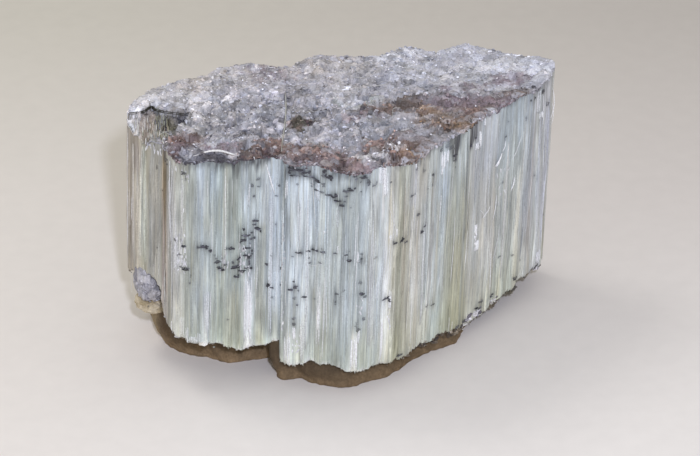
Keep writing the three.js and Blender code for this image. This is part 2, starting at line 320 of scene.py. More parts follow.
def fibre_material():
    """Silky fibres: attribute tint, with fine streaks that run along the fibre (attribute
    'fib' holds arc length, height and a random number, in mm)."""
    material, add, link, value, calc, ramp, blend, vec, noise = node_tools("silky_fibre")
    out = add("ShaderNodeOutputMaterial")
    bsdf = add("ShaderNodeBsdfPrincipled")
    link(bsdf.outputs[0], out.inputs[0])
    fib = add("ShaderNodeAttribute", attribute_name="fib").outputs["Vector"]
    tint = add("ShaderNodeAttribute", attribute_name="tint").outputs["Color"]
    fine = noise(vec("MULTIPLY", fib, (6.5, 0.10, 3.0)), 1.0, 2.0, 0.6)
    mid = noise(vec("MULTIPLY", fib, (2.4, 0.075, 5.0)), 1.0, 3.0, 0.55)
    broken = noise(vec("MULTIPLY", fib, (3.6, 0.55, 1.0)), 1.0, 2.0, 0.6)
    cross = noise(vec("MULTIPLY", fib, (0.7, 4.5, 1.0)), 1.0, 2.0, 0.6)
    splinter = noise(vec("MULTIPLY", fib, (5.2, 1.25, 2.0)), 1.0, 2.0, 0.55)
    # fine light and dark threads
    level = calc("MULTIPLY_ADD", fine, 0.30, 0.85)
    level2 = calc("MULTIPLY_ADD", mid, 0.50, 0.75)
    level3 = calc("MULTIPLY", calc("MULTIPLY_ADD", broken, 0.34, 0.83), calc("MULTIPLY_ADD", splinter, 0.26, 0.87))
    level4 = calc("MULTIPLY_ADD", cross, 0.18, 0.91)
    both = calc("MULTIPLY", calc("MULTIPLY", level, level2), calc("MULTIPLY", level3, level4))
    grey = add("ShaderNodeCombineColor")
    link(both, grey.inputs[0]); link(both, grey.inputs[1]); link(both, grey.inputs[2])
    colour = blend("MULTIPLY", 1.0, tint, grey.outputs[0])
    # slight change of hue from thread to thread: bluish to greenish cream
    hue = ramp(noise(vec("MULTIPLY", fib, (3.1, 0.07, 2.0)), 1.0, 2.0, 0.5),
               [(0.30, (1.035, 1.0, 0.93)), (0.5, (1, 1, 1)), (0.72, (0.965, 0.995, 1.05))])
    colour = blend("MULTIPLY", 0.8, colour, hue.outputs[0])
    link(colour, bsdf.inputs["Base Color"])
    rough = calc("MULTIPLY_ADD", mid, 0.30, 0.27)
    link(rough, bsdf.inputs["Roughness"])
    bsdf.inputs["Specular IOR Level"].default_value = 0.55
    bsdf.inputs["Sheen Weight"].default_value = 0.10
    bsdf.inputs["Sheen Roughness"].default_value = 0.35
    height = calc("ADD", calc("MULTIPLY", fine, 0.55), calc("ADD", calc("MULTIPLY", mid, 1.1), calc("MULTIPLY", broken, 0.35)))
    bump = add("ShaderNodeBump")
    bump.inputs["Strength"].default_value = 0.75
    bump.inputs["Distance"].default_value = 0.00022
    link(height, bump.inputs["Height"])
    link(bump.outputs[0], bsdf.inputs["Normal"])
    return material


def crust_material():
    """Granular, mica-rich wall: attribute tint, with speckle, pits and uneven gloss."""
    material, add, link, value, calc, ramp, blend, vec, noise = node_tools("wall_crust")
    out = add("ShaderNodeOutputMaterial")
    bsdf = add("ShaderNodeBsdfPrincipled")
    link(bsdf.outputs[0], out.inputs[0])
    place = add("ShaderNodeTexCoord").outputs["Object"]
    tint = add("ShaderNodeAttribute", attribute_name="tint").outputs["Color"]
    speck = noise(place, 3600.0, 3.0, 0.65)
    blotch = noise(place, 900.0, 3.0, 0.6)
    cells = add("ShaderNodeTexVoronoi", feature="F1")
    cells.inputs["Scale"].default_value = 2300.0
    link(place, cells.inputs["Vector"])
    light = ramp(speck, [(0.30, (0.86, 0.86, 0.87)), (0.5, (1, 1, 1)), (0.72, (1.14, 1.13, 1.14))])
    tone = ramp(blotch, [(0.3, (0.88, 0.87, 0.87)), (0.55, (1, 1, 1)), (0.75, (1.09, 1.09, 1.10))])
    colour = blend("MULTIPLY", 1.0, blend("MULTIPLY", 1.0, tint, light.outputs[0]), tone.outputs[0])
    grain = add("ShaderNodeSeparateColor")
    link(cells.outputs["Color"], grain.inputs[0])
    g = calc("MULTIPLY_ADD", grain.outputs[0], 0.20, 0.90)
    grey = add("ShaderNodeCombineColor")
    link(g, grey.inputs[0]); link(g, grey.inputs[1]); link(g, grey.inputs[2])
    colour = blend("MULTIPLY", 0.8, colour, grey.outputs[0])
    link(colour, bsdf.inputs["Base Color"])
    link(calc("MULTIPLY_ADD", grain.outputs[1], 0.42, 0.24), bsdf.inputs["Roughness"])
    bsdf.inputs["Specular IOR Level"].default_value = 0.6
    height = calc("ADD", calc("MULTIPLY", speck, 0.6), calc("MULTIPLY", cells.outputs["Distance"], -0.9))
    bump = add("ShaderNodeBump")
    bump.inputs["Strength"].default_value = 0.8
    bump.inputs["Distance"].default_value = 0.00018
    link(height, bump.inputs["Height"])
    link(bump.outputs[0], bsdf.inputs["Normal"])
    return material


def flake_material(name, rough_low, rough_span, specular, coat=0.0):
    """Small plates and grains: attribute tint, faint mottling, glossy to dull by grain."""
    material, add, link, value, calc, ramp, blend, vec, noise = node_tools(name)
    out = add("ShaderNodeOutputMaterial")
    bsdf = add("ShaderNodeBsdfPrincipled")
    link(bsdf.outputs[0], out.inputs[0])
    place = add("ShaderNodeTexCoord").outputs["Object"]
    tint = add("ShaderNodeAttribute", attribute_name="tint").outputs["Color"]
    fac = add("ShaderNodeAttribute", attribute_name="gloss").outputs["Fac"]
    mottle = ramp(noise(place, 5200.0, 2.0, 0.6), [(0.32, (0.74, 0.73, 0.74)), (0.68, (1.22, 1.22, 1.24))])
    colour = blend("MULTIPLY", 1.0, tint, mottle.outputs[0])
    link(colour, bsdf.inputs["Base Color"])
    link(calc("MULTIPLY_ADD", fac, rough_span, rough_low), bsdf.inputs["Roughness"])
    bsdf.inputs["Specular IOR Level"].default_value = specular
    bsdf.inputs["Coat Weight"].default_value = coat
    bsdf.inputs["Coat Roughness"].default_value = 0.12
    bump = add("ShaderNodeBump")
    bump.inputs["Strength"].default_value = 0.35
    bump.inputs["Distance"].default_value = 0.0001
    link(noise(place, 7000.0, 2.0, 0.5), bump.inputs["Height"])
    link(bump.outputs[0], bsdf.inputs["Normal"])
    return material


def foot_material():
    """Lower wall: the tint attribute with speckle. On the foot that tint is dark brown painted shadow, ochre in places.
    """
    material, add, link, value, calc, ramp, blend, vec, noise = node_tools("lower_crust")
    out = add("ShaderNodeOutputMaterial")
    bsdf = add("ShaderNodeBsdfPrincipled")
    link(bsdf.outputs[0], out.inputs[0])
    place = add("ShaderNodeTexCoord").outputs["Object"]
    tint = add("ShaderNodeAttribute", attribute_name="tint").outputs["Color"]
    speck = ramp(noise(place, 2600.0, 3.0, 0.6), [(0.3, (0.78, 0.77, 0.76)), (0.7, (1.22, 1.22, 1.22))])
    colour = blend("MULTIPLY", 1.0, tint, speck.outputs[0])
    link(colour, bsdf.inputs["Base Color"])
    link(calc("MULTIPLY_ADD", noise(place, 1200.0, 2.0, 0.5), 0.3, 0.6), bsdf.inputs["Roughness"])
    bsdf.inputs["Specular IOR Level"].default_value = 0.25
    bump = add("ShaderNodeBump")
    bump.inputs["Strength"].default_value = 0.6
    bump.inputs["Distance"].default_value = 0.0002
    link(noise(place, 1800.0, 4.0, 0.6), bump.inputs["Height"])
    link(bump.outputs[0], bsdf.inputs["Normal"])
    return material


FIBRE = fibre_material()
CRUST = crust_material()
GRAIN = flake_material("crust_grain", 0.28, 0.40, 0.5)
MICA = flake_material("crust_mica", 0.20, 0.42, 0.6, 0.12)
THREAD = flake_material("loose_fibre", 0.22, 0.25, 0.6)
MARK = flake_material("dark_inclusion", 0.25, 0.4, 0.5)
LOWER = foot_material()

# ---------------------------------------------------------------- fibre outline
def fine_outline(points, step, soften, keep=None):
    """Closed outline at an even fine step, with its corners softened."""
    p = np.array(points, float)
    q = np.vstack([p, p[:1]])
    cum = np.concatenate([[0], np.cumsum(np.linalg.norm(np.diff(q, axis=0), axis=1))])
    total = cum[-1]
    n = int(round(total / step))
    s = np.arange(n) * total / n
    xy = np.stack([np.interp(s, cum, q[:, 0]), np.interp(s, cum, q[:, 1])], 1)
    k = int(4 * soften / step)
    w = np.exp(-0.5 * (np.arange(-k, k + 1) * step / soften) ** 2)
    w /= w.sum()
    soft = np.zeros_like(xy)
    for i, wi in enumerate(w):
        soft += wi * np.roll(xy, k - i, axis=0)
    if keep is not None:
        hold = keep(s)[:, None]
        soft = soft * (1 - hold) + xy * hold
    return s, soft, total


def outward(xy, blur):
    """Unit normals of a closed anticlockwise outline, blurred over some samples."""
    d = np.roll(xy, -2, axis=0) - np.roll(xy, 2, axis=0)
    n = np.stack([d[:, 1], -d[:, 0]], 1)
    n /= np.linalg.norm(n, axis=1)[:, None]
    acc = np.zeros_like(n)
    for i in range(-blur, blur + 1):
        acc += np.roll(n, i, axis=0)
    return acc / np.linalg.norm(acc, axis=1)[:, None]


def crack_hold(s):
    return smooth(1 - np.abs(s - 41.3) / 1.6)


OUT_S, OUT_XY, PERIMETER = fine_outline(OUTLINE, 0.05, 0.55, crack_hold)
OUT_N = outward(OUT_XY, 16)


LOOP_S = np.append(OUT_S, PERIMETER)
LOOP_XY = np.vstack([OUT_XY, OUT_XY[:1]])
LOOP_N = np.vstack([OUT_N, OUT_N[:1]])


def at_outline(s):
    """Position and outward normal on the outline at arc length s."""
    t = np.mod(s, PERIMETER)
    ss, xy, nn = LOOP_S, LOOP_XY, LOOP_N
    p = np.stack([np.interp(t, ss, xy[:, 0]), np.interp(t, ss, xy[:, 1])], -1)
    n = np.stack([np.interp(t, ss, nn[:, 0]), np.interp(t, ss, nn[:, 1])], -1)
    return p, n / np.linalg.norm(n, axis=-1, keepdims=True)


def rim_distance(x, y, front_only=True):
    """Distance in plan from the (front) outline, by a coarse search."""
    limit = FRONT_LENGTH if front_only else PERIMETER
    line = OUT_XY[(OUT_S < limit)][::8]
    flat = np.stack([np.ravel(x), np.ravel(y)], 1)
    best = np.full(len(flat), 1e9)
    for part in np.array_split(line, max(1, len(line) // 24)):
        d = flat[:, None, :] - part[None, :, :]
        best = np.minimum(best, np.sqrt((d ** 2).sum(-1)).min(1))
    return best.reshape(np.shape(x))


# ----------------------------------------------------------------- crust relief
# The wall is broken away at the left end, down to fibrous rock. Back edge of that scar:
SCAR_BACK = [
    (-41.5, -0.9), (-39.4, -1.1), (-36.9, -1.2), (-36.0, -0.6), (-34.8, 0.8), (-33.8, -0.4), (-32.2, -0.9),
    (-30.4, -0.6), (-28.0, -1.1), (-27.6, -3.0), (-28.4, -4.6), (-29.7, -5.3), (-30.0, -7.4), (-29.8, -8.9),
    (-30.8, -10.6), (-31.5, -12.2), (-31.6, -14.0),
]
SCAR = np.array(SCAR_BACK + [(-34, -15), (-44, -14), (-44, -1)], float)


def inside(poly, x, y):
    """Even-odd test for many points."""
    result = np.zeros(np.shape(x), bool)
    x0, y0 = poly[:, 0], poly[:, 1]
    x1, y1 = np.roll(x0, -1), np.roll(y0, -1)
    for a, b, c, d in zip(x0, y0, x1, y1):
        if b == d:
            continue
        hit = (b > y) != (d > y)
        if hit.any():
            result ^= hit & (x < (c - a) * (y - b) / (d - b) + a)
    return result


def line_distance(line, x, y):
    best = np.full(np.shape(x), 1e9)
    for (a, b), (c, d) in zip(line[:-1], line[1:]):
        ux, uy = c - a, d - b
        t = np.clip(((x - a) * ux + (y - b) * uy) / (ux * ux + uy * uy), 0, 1)
        best = np.minimum(best, np.hypot(x - a - ux * t, y - b - uy * t))
    return best


def scar(x, y):
    """How far inside the scar a place is, in mm, with a ragged edge; 0 outside it."""
    x, y = np.asarray(x, float), np.asarray(y, float)
    d = np.zeros(np.shape(x))
    near = (x < -26.5) & (y < 2.5)
    if near.any():
        wx = x[near] + 0.35 * noise2(x[near] / 0.8, y[near] / 0.8, 71) + 0.2 * noise2(x[near] / 0.35, y[near] / 0.35, 73)
        wy = y[near] + 0.35 * noise2(x[near] / 0.8, y[near] / 0.8, 72) + 0.2 * noise2(x[near] / 0.35, y[near] / 0.35, 74)
        d[near] = np.where(inside(SCAR, wx, wy), line_distance(SCAR_BACK, wx, wy), 0.0)
    return d


def wall_base(x, y, rim=None):
    """The upper wall without its grains."""
    z = CRUST_TOP - 0.03 * x
    z = z + 0.55 * fbm2(x / 6.5, y / 6.5, 3, 3)
    z = z + 0.75 * np.exp(-(((x - 23) / 5) ** 2 + ((y - 29) / 4) ** 2))
    z = z - 0.55 * np.exp(-(((x - 16.5) / 2.6) ** 2 + ((y - 27) / 4) ** 2))
    z = z + 1.3 * np.exp(-(((x - 41) / 6) ** 2 + ((y - 22) / 6) ** 2))
    z = z + 0.8 * np.exp(-(((x + 37) / 4) ** 2 + ((y - 4.5) / 4.5) ** 2))
    z = z + 1.3 * np.exp(-(((x + 5.5) / 3.6) ** 2 + ((y + 20.5) / 3) ** 2))
    z = z + 0.7 * np.exp(-(((x - 7.0) / 2.6) ** 2 + ((y + 19.0) / 2.6) ** 2))
    z = z + 1.2 * np.exp(-(((x + 12.4) / 2.4) ** 2 + ((y + 19.0) / 2.2) ** 2))
    z = z + 0.4 * np.exp(-(((x + 23.5) / 4) ** 2 + ((y + 19.0) / 2.2) ** 2))
    z = z + 0.7 * np.exp(-(((x - 25.5) / 3.5) ** 2 + ((y + 3.0) / 3.5) ** 2))
    z = z + 0.9 * np.exp(-(((x - 30.5) / 3.5) ** 2 + ((y - 3.0) / 3.5) ** 2))
    z = z + 1.0 * np.exp(-(((x - 35.5) / 3.5) ** 2 + ((y - 8.5) / 3.5) ** 2))
    z = z + 0.9 * np.exp(-(((x - 39.5) / 3.0) ** 2 + ((y - 14.0) / 3.5) ** 2))
    z = z - 0.4 * np.exp(-(((x + 10) / 4) ** 2 + ((y - 19) / 5) ** 2))
    z = z + 0.2 * np.exp(-(((x - 11) / 3) ** 2 + ((y - 26.5) / 3) ** 2))
    z = z + 0.5 * np.exp(-(((x + 4) / 4) ** 2 + ((y - 21) / 3) ** 2))
    z = z + 0.8 * np.exp(-(((x + 7.2) / 2.4) ** 2 + ((y + 3.2) / 2.2) ** 2))
    if rim is None:
        rim = rim_distance(x, y)
    z = z - 0.35 * smooth(1 - rim / 1.4)
    d = scar(x, y)
    left = smooth((-33.8 - x) / 1.8)
    z = z - 0.85 * smooth(d / 0.22) - left * np.minimum(0.34 * d, 2.0)
    pit = np.exp(-(((x + 31.9) / 1.9) ** 2 + ((y + 4.0) / 2.6) ** 2)) + 1.5 * np.exp(-(((x + 29.1) / 1.3) ** 2 + ((y + 2.2) / 1.3) ** 2))
    z = z - 0.75 * pit * smooth(d / 0.6)
    return z


def cells(x, y, spacing, seed, loose=0.9):
    """Nearest and second-nearest jittered grid point: distances, the cell's numbers and place."""
    gx, gy = np.floor(x / spacing), np.floor(y / spacing)
    d1 = np.full(np.shape(x), 1e9)
    d2 = np.full(np.shape(x), 1e9)
    ci, cj = np.zeros(np.shape(x)), np.zeros(np.shape(x))
    px, py = np.zeros(np.shape(x)), np.zeros(np.shape(x))
    for i in (-1, 0, 1):
        for j in (-1, 0, 1):
            ix, iy = gx + i, gy + j
            qx = (ix + 0.5 + loose * (hashed(ix, iy, 1, seed) - 0.5)) * spacing
            qy = (iy + 0.5 + loose * (hashed(ix, iy, 2, seed) - 0.5)) * spacing
            d = np.sqrt((x - qx) ** 2 + (y - qy) ** 2)
            near = d < d1
            d2 = np.where(near, d1, np.minimum(d2, d))
            ci, cj = np.where(near, ix, ci), np.where(near, iy, cj)
            px, py = np.where(near, qx, px), np.where(near, qy, py)
            d1 = np.where(near, d, d1)
    return d1, d2, ci, cj, px, py


def platy(x, y):
    """How platy the wall is: the brown, lamellar zone between the front edge and the dark
    line that runs inside it on the right, and the smoother lavender zone behind it."""
    line = np.interp(x, [2, 4.5, 11, 20, 33.5, 38], [-3.0, 1.9, 7.4, 9.4, 10.7, 12.0])
    return smooth((line - y) / 1.6 + 0.5) * smooth((x - 7.5) / 4)


def roughness_of(x, y):
    """1 where the wall is coarse and broken, less where it is finer and smoother."""
    back = smooth((y - 5) / 6)
    right = smooth((x - 15) / 8) * smooth((y - 8) / 4)
    left = smooth((-22 - x) / 6) * smooth((y - 0.5) / 3)
    return 1 - np.maximum(np.maximum(0.30 * back, 0.45 * right), 0.45 * left)


GRAIN_LEVELS = ((3.6, 1.05, 11), (1.7, 0.66, 12), (0.80, 0.17, 13))


def crust_height(x, y, rim=None, with_ids=False):
    """Upper wall with its grains: each grain is a tilted, slightly domed facet."""
    z = wall_base(x, y, rim)
    coarse = roughness_of(x, y)
    sheet = platy(x, y)
    bare = smooth(scar(x, y) / 0.8)
    ids = []
    crevice_shade = np.zeros(np.shape(x))
    for spacing, size, seed in GRAIN_LEVELS:
        wx = x + 0.34 * spacing * noise2(x / spacing * 1.3, y / spacing * 1.3, seed + 50)
        wy = y + 0.34 * spacing * noise2(x / spacing * 1.3, y / spacing * 1.3, seed + 60)
        # in the platy zone the grains are long plates along X; in the scar, along the fibres
        wy2 = wy * (1 + 1.5 * sheet) * (1 - 0.5 * bare)
        wx2 = wx * (1 - 0.5 * sheet) * (1 + 1.0 * bare)
        d1, d2, ci, cj, px, py = cells(wx2, wy2, spacing, seed)
        off = (hashed(ci, cj, 3, seed) - 0.5) * 1.5
        tx = (hashed(ci, cj, 4, seed) - 0.5) * 1.9
        ty = (hashed(ci, cj, 5, seed) - 0.5) * 1.9
        local = off + (tx * (wx2 - px) + ty * (wy2 - py)) / spacing * 1.4
        gap = np.exp(-(d2 - d1) / (0.15 * spacing)) * (0.25 + 0.75 * hashed(ci, cj, 6, seed))
        z = z + size * coarse * (1 - 0.6 * bare) * (local * 0.62 - 0.60 * gap)
        # mask for the painted shade in the crevices between grains
        crevice_shade = np.maximum(crevice_shade, gap * coarse)
        ids.append((ci, cj, px / (1 - 0.5 * sheet) / (1 + bare), py / (1 + 1.5 * sheet) / (1 - 0.5 * bare)))
    z = z + 0.07 * fbm2(x / 0.5, y / 0.5, 2, 19) * coarse
    hollow = smooth((0.6 * noise2(x / 0.95, y / 1.3, 221) + 0.4 * noise2(x / 0.42, y / 0.6, 222) - 0.34) / 0.22)
    z = z - 0.34 * hollow * coarse * (1 - bare)
    z = z + bare * smooth((-32.6 - x) / 0.8) * (0.16 * noise1(x / 0.27, 215) + 0.20 * noise1(x / 0.8, 216))
    if with_ids:
        return z, ids, crevice_shade
    return z


# ------------------------------------------------------------------ crust tones
TONES = {
    "lilac": srgb(182, 181, 190), "pale": srgb(208, 206, 210), "white": srgb(234, 233, 238),
    "grey": srgb(158, 158, 165), "greenish": srgb(172, 178, 172), "rust": srgb(127, 103, 97),
    "maroon": srgb(88, 70, 74), "brown": srgb(120, 102, 95), "gold": srgb(147, 121, 94),
    "mauve": srgb(140, 124, 132), "charcoal": srgb(72, 70, 80), "olive_dark": srgb(84, 82, 66),
    "taupe": srgb(198, 187, 180), "warmgrey": srgb(196, 190, 188), "sand": srgb(178, 156, 128),
}
# Soft patches of the wall in plan: x, y, half lengths, turn in degrees, tone, share of grains.
PATCHES = [
    # pale back and left
    (-33, 9, 8, 6, 35, "pale", 0.85), (-36, 3, 4, 3, 30, "pale", 0.9), (-33, 2.4, 5, 2.6, 10, "white", 0.35),
    (-23, 12, 8, 5, 20, "warmgrey", 0.7), (-14, 16, 6, 3, 10, "mauve", 0.30), (-16, 9, 8, 4, 0, "lilac", 0.5),
    (-4, 18, 9, 4, 10, "warmgrey", 0.6), (-27, 3, 6, 4, 0, "pale", 0.7), (-24, -1, 5, 3.4, 0, "pale", 0.45),
    (28, 18, 10, 7, 10, "pale", 0.8), (33, 21, 7, 4, 0, "white", 0.30), (18, 19, 9, 5, 0, "pale", 0.6),
    (9, 18, 8, 5, 0, "pale", 0.45), (10, 14, 6, 3, 0, "lilac", 0.4), (1.0, 11.0, 5, 3, 0, "pale", 0.7),
    (4.0, 6.0, 5, 2, 10, "greenish", 0.55), (-4, 9, 6, 3, 0, "lilac", 0.5), (-8, 5, 5, 2.6, 0, "lilac", 0.5),
    (0.2, 7.2, 3.4, 1.8, 0, "pale", 0.7), (-19, 12, 8, 3.4, 10, "pale", 0.35), (5, 16, 9, 4, 0, "pale", 0.35), (-24.5, -2.4, 4.0, 3.0, 0, "pale", 0.4),
    # grey middle
    (-22, -8, 7, 4, 10, "grey", 0.20), (-13, 1, 7, 4, 0, "grey", 0.55), (-14.4, -5, 3.2, 1.9, 0, "white", 0.12),
    (3.6, -4.0, 5, 3.4, 0, "grey", 0.55), (8.0, -7.0, 3.0, 2.0, 10, "grey", 0.5), (14, 12, 5, 2, 5, "grey", 0.4),
    (-2.0, -7.0, 4.0, 3.0, 0, "lilac", 0.5), (-18.0, -2.0, 4, 2.4, 0, "grey", 0.4),
    # dark pits: painted shade in pits
    (-24, -7, 1.1, 2.4, 10, "charcoal", 0.65), (-21.7, -1.6, 1.3, 1.8, 0, "charcoal", 0.6), (-24.6, -4.6, 0.9, 0.8, 0, "charcoal", 0.6),
    (-19.5, -4.6, 1.2, 1.0, 0, "charcoal", 0.5), (-18.6, -9.0, 1.6, 1.2, 0, "charcoal", 0.45), (-22.6, -9.8, 1.0, 0.8, 0, "charcoal", 0.5),
    (-16.0, 0.6, 1.2, 0.8, 0, "charcoal", 0.5), (-12.0, -2.9, 1.7, 1.2, 0, "charcoal", 0.7), (-15.6, -8.2, 1.2, 0.8, 0, "charcoal", 0.5),
    (-10.6, 2.0, 1.4, 1.0, 0, "charcoal", 0.5), (-20.4, 1.6, 1.3, 0.8, 0, "charcoal", 0.45), (-26.0, 1.4, 1.2, 0.6, 0, "charcoal", 0.35),
    (-17.0, -6.4, 0.9, 0.7, 0, "charcoal", 0.45), (-5.0, 2.4, 1.3, 0.8, 0, "charcoal", 0.4), (-27.0, 8.0, 1.3, 0.6, 0, "mauve", 0.5),
    # brown boss beside the hair
    (-7.4, -3.6, 3.0, 2.4, 0, "olive_dark", 0.80), (-6.0, -3.2, 1.6, 2.0, 0, "maroon", 0.85), (-8.8, -4.0, 1.3, 1.6, 0, "brown", 0.6),
    # left corner
    (-29.3, -11.0, 2.6, 2.4, 0, "rust", 0.90), (-27.2, -13.0, 3.4, 2.6, -10, "maroon", 0.80), (-25.4, -15.6, 3.8, 1.8, 0, "charcoal", 0.25),
    (-29.2, -15.6, 1.6, 2.0, 0, "mauve", 0.8), (-26.0, -10.6, 1.8, 1.5, 0, "brown", 0.6), (-24.4, -12.2, 1.8, 1.4, 0, "grey", 0.5),
    (-20.5, -11.5, 4.0, 2.0, 0, "grey", 0.6), (-21.8, -13.6, 4.4, 1.6, 4, "mauve", 0.55), (-22.0, -17.6, 5.4, 0.9, 4, "charcoal", 0.7),
    # brown-red front, left of the crack
    (-15.8, -15.8, 3.4, 1.7, 5, "brown", 0.95), (-12.4, -12.8, 3.0, 3.0, 10, "rust", 0.80), (-12.4, -15.4, 2.8, 1.6, 0, "maroon", 0.75),
    (-14.4, -16.9, 4.0, 0.8, 0, "charcoal", 0.65), (-9.4, -8.6, 2.0, 2.0, 0, "pale", 0.25), (-9.8, -13.0, 1.6, 2.0, 0, "brown", 0.6),
    # red-brown front, right of the crack
    (-6.4, -13.2, 4.0, 3.8, 15, "rust", 0.66), (-2.0, -15.2, 4.6, 3.4, -15, "rust", 0.66), (-4.6, -17.4, 4.6, 2.0, 0, "maroon", 0.55),
    (1.4, -18.2, 3.4, 2.6, -30, "rust", 0.72), (0.2, -19.8, 3.0, 1.6, 0, "maroon", 0.75), (-7.6, -17.4, 2.6, 1.4, 0, "rust", 0.7),
    (1.8, -12.2, 3.6, 2.2, 0, "lilac", 0.5), (-4.4, -11.0, 3.0, 1.6, 0, "warmgrey", 0.4), (4.6, -17.2, 2.0, 2.4, 0, "pale", 0.75),
    (6.4, -15.0, 2.2, 1.4, 10, "white", 0.6), (4.4, -20.0, 2.4, 1.2, 0, "mauve", 0.7), (6.6, -18.4, 1.8, 1.0, 30, "charcoal", 0.35),
    # red-brown band towards the middle right
    (7.6, -11.2, 3.8, 2.6, 25, "rust", 0.75), (11.2, -13.2, 4.2, 2.8, 40, "rust", 0.80), (9.4, -15.8, 2.4, 1.6, 20, "maroon", 0.75),
    (13.8, -10.8, 3.2, 2.2, 45, "brown", 0.8), (12.0, -14.6, 2.8, 1.2, 40, "gold", 0.5), (4.6, -9.4, 2.4, 1.4, 10, "brown", 0.4),
    (11.6, -2.6, 2.4, 1.8, 0, "pale", 0.35), (9.0, -2.0, 3.0, 1.6, 0, "grey", 0.5), (14.6, -6.6, 3.0, 1.8, 40, "lilac", 0.7), (17.2, -7.4, 2.2, 1.2, 48, "grey", 0.5),
    # dark rim along the front: its charcoal and maroon, like the charcoal along the front edge in the groups above, are
    # partly painted shadow under the lip, partly the rock's own dark red-brown
    (-23.6, -15.0, 2.6, 1.3, 0, "grey", 0.5), (-19.6, -17.4, 3.6, 1.6, 6, "charcoal", 0.8), (-14.6, -19.0, 3.6, 1.2, 0, "charcoal", 0.8),
    (-23.4, -18.0, 2.8, 1.5, 0, "charcoal", 0.45), (6.6, -16.6, 1.9, 1.1, 20, "white", 0.7), (5.4, -12.6, 2.4, 1.5, 10, "rust", 0.5),
    (9.4, -12.3, 1.4, 0.9, 10, "white", 0.75), (11.8, -7.2, 3.0, 1.5, 20, "rust", 0.5), (17.6, -5.0, 1.8, 1.0, 40, "warmgrey", 0.5),
    (-30.6, -17.0, 2.4, 1.4, -50, "maroon", 0.85), (-27.0, -18.8, 3.0, 1.3, -10, "charcoal", 0.85), (-21.6, -19.2, 4.6, 1.3, 6, "charcoal", 0.85),
    (-16.4, -18.2, 3.6, 1.3, 6, "maroon", 0.85), (-12.4, -17.9, 2.4, 1.1, 0, "maroon", 0.9), (-14.6, -17.6, 2.0, 0.9, 0, "brown", 0.6),
    (-8.4, -19.8, 2.4, 1.0, -12, "maroon", 0.75), (-4.6, -20.6, 2.8, 1.1, -6, "maroon", 0.75), (-2.4, -19.6, 2.0, 1.2, 0, "rust", 0.6),
    (1.2, -22.0, 2.8, 1.0, 0, "maroon", 0.85), (9.4, -18.6, 2.4, 1.1, 30, "rust", 0.8), (12.8, -15.6, 2.0, 1.0, 50, "brown", 0.8),
    (30.2, 4.4, 3.4, 1.1, 48, "brown", 0.7), (34.0, 9.0, 2.4, 1.0, 45, "brown", 0.6), (24.0, -3.6, 2.6, 0.9, 48, "brown", 0.8),
    # pale far edge and shadowed hollows of the middle
    (11.0, 25.0, 6.0, 2.0, 12, "white", 0.65), (24.0, 26.4, 7.0, 2.2, 5, "white", 0.35), (34.0, 24.0, 5.0, 2.0, -15, "white", 0.3),
    (3.0, 21.0, 4.0, 1.6, 15, "pale", 0.7), (-3.4, 1.0, 1.9, 1.3, 0, "charcoal", 0.6), (-12.2, -7.2, 2.0, 1.4, 0, "charcoal", 0.55),
    (-16.5, -3.0, 2.1, 1.4, 0, "charcoal", 0.6), (2.0, 4.6, 2.8, 2.0, 0, "pale", 0.6), (6.6, -13.8, 2.0, 1.2, 10, "brown", 0.65),
    (16.4, -3.8, 2.0, 1.2, 40, "pale", 0.55), (-25.4, -3.6, 1.6, 2.6, 0, "pale", 0.5), (-35.2, -0.8, 1.6, 0.9, 0, "pale", 0.4),
    (-25.2, -16.0, 1.6, 1.0, 0, "grey", 0.5), (-18.1, -14.0, 3.0, 1.0, 0, "grey", 0.45), (-14.9, 17.6, 1.6, 1.4, 0, "pale", 0.5),
    (-10.4, 15.1, 2.4, 1.4, 0, "mauve", 0.45), (-18.6, 13.4, 1.6, 1.4, 0, "grey", 0.4), (-12.8, -5.6, 1.4, 1.8, 0, "charcoal", 0.35),
    (-3.8, 2.4, 2.4, 1.5, 0, "charcoal", 0.35), (-2.8, -10.0, 1.6, 2.4, 0, "grey", 0.5), (-7.2, -19.4, 2.0, 0.9, 0, "mauve", 0.5),
    (1.7, 10.4, 1.8, 1.4, 0, "pale", 0.5), (1.7, 6.4, 1.8, 1.2, 0, "pale", 0.4), (4.6, 21.0, 2.4, 1.2, 0, "pale", 0.4),
    (10.0, 5.2, 3.0, 1.4, 0, "pale", 0.4), (18.1, -4.3, 1.6, 1.2, 0, "warmgrey", 0.5), (12.8, -9.6, 2.4, 1.2, 40, "maroon", 0.35),
    (37.6, 22.4, 2.6, 1.8, 0, "lilac", 0.6),
    # lavender sweep towards the right corner
    (31.0, 14.6, 5.0, 1.4, 30, "lilac", 0.5), (31.4, 15.8, 4.4, 2.4, 25, "mauve", 0.7), (27.0, 17.0, 5.0, 1.6, 15, "grey", 0.5), (38.5, 18.5, 2.6, 2.6, 0, "white", 0.6), (26.0, 12.0, 5.0, 1.0, 20, "mauve", 0.35), (21.0, 22.6, 6.0, 1.6, 10, "lilac", 0.5),
    # brown, platy right
    (7.2, 2.6, 4.4, 2.3, 15, "brown", 0.75), (5.6, 1.2, 2.6, 1.6, 10, "charcoal", 0.35), (4.0, -0.4, 3.0, 1.6, 10, "mauve", 0.5),
    (13.6, 4.4, 4.8, 2.4, 5, "brown", 0.85), (11.4, 6.4, 4.4, 1.0, 12, "charcoal", 0.25), (16.8, 1.4, 4.2, 2.4, 20, "gold", 0.75), (15.2, 2.4, 4.4, 2.2, 15, "brown", 0.5),
    (18.6, -2.6, 4.6, 2.8, 45, "brown", 0.90), (21.6, -1.8, 3.8, 2.6, 45, "gold", 0.8), (22.4, -1.0, 4.2, 3.0, 45, "brown", 0.45), (19.6, -3.6, 2.4, 1.6, 45, "maroon", 0.45), (24.4, 1.8, 3.4, 2.2, 48, "rust", 0.85),
    (20.4, 6.0, 4.6, 2.8, 15, "mauve", 0.9), (18.2, 8.2, 3.6, 1.3, 5, "maroon", 0.45), (25.6, 6.4, 3.8, 3.2, 30, "mauve", 0.85),
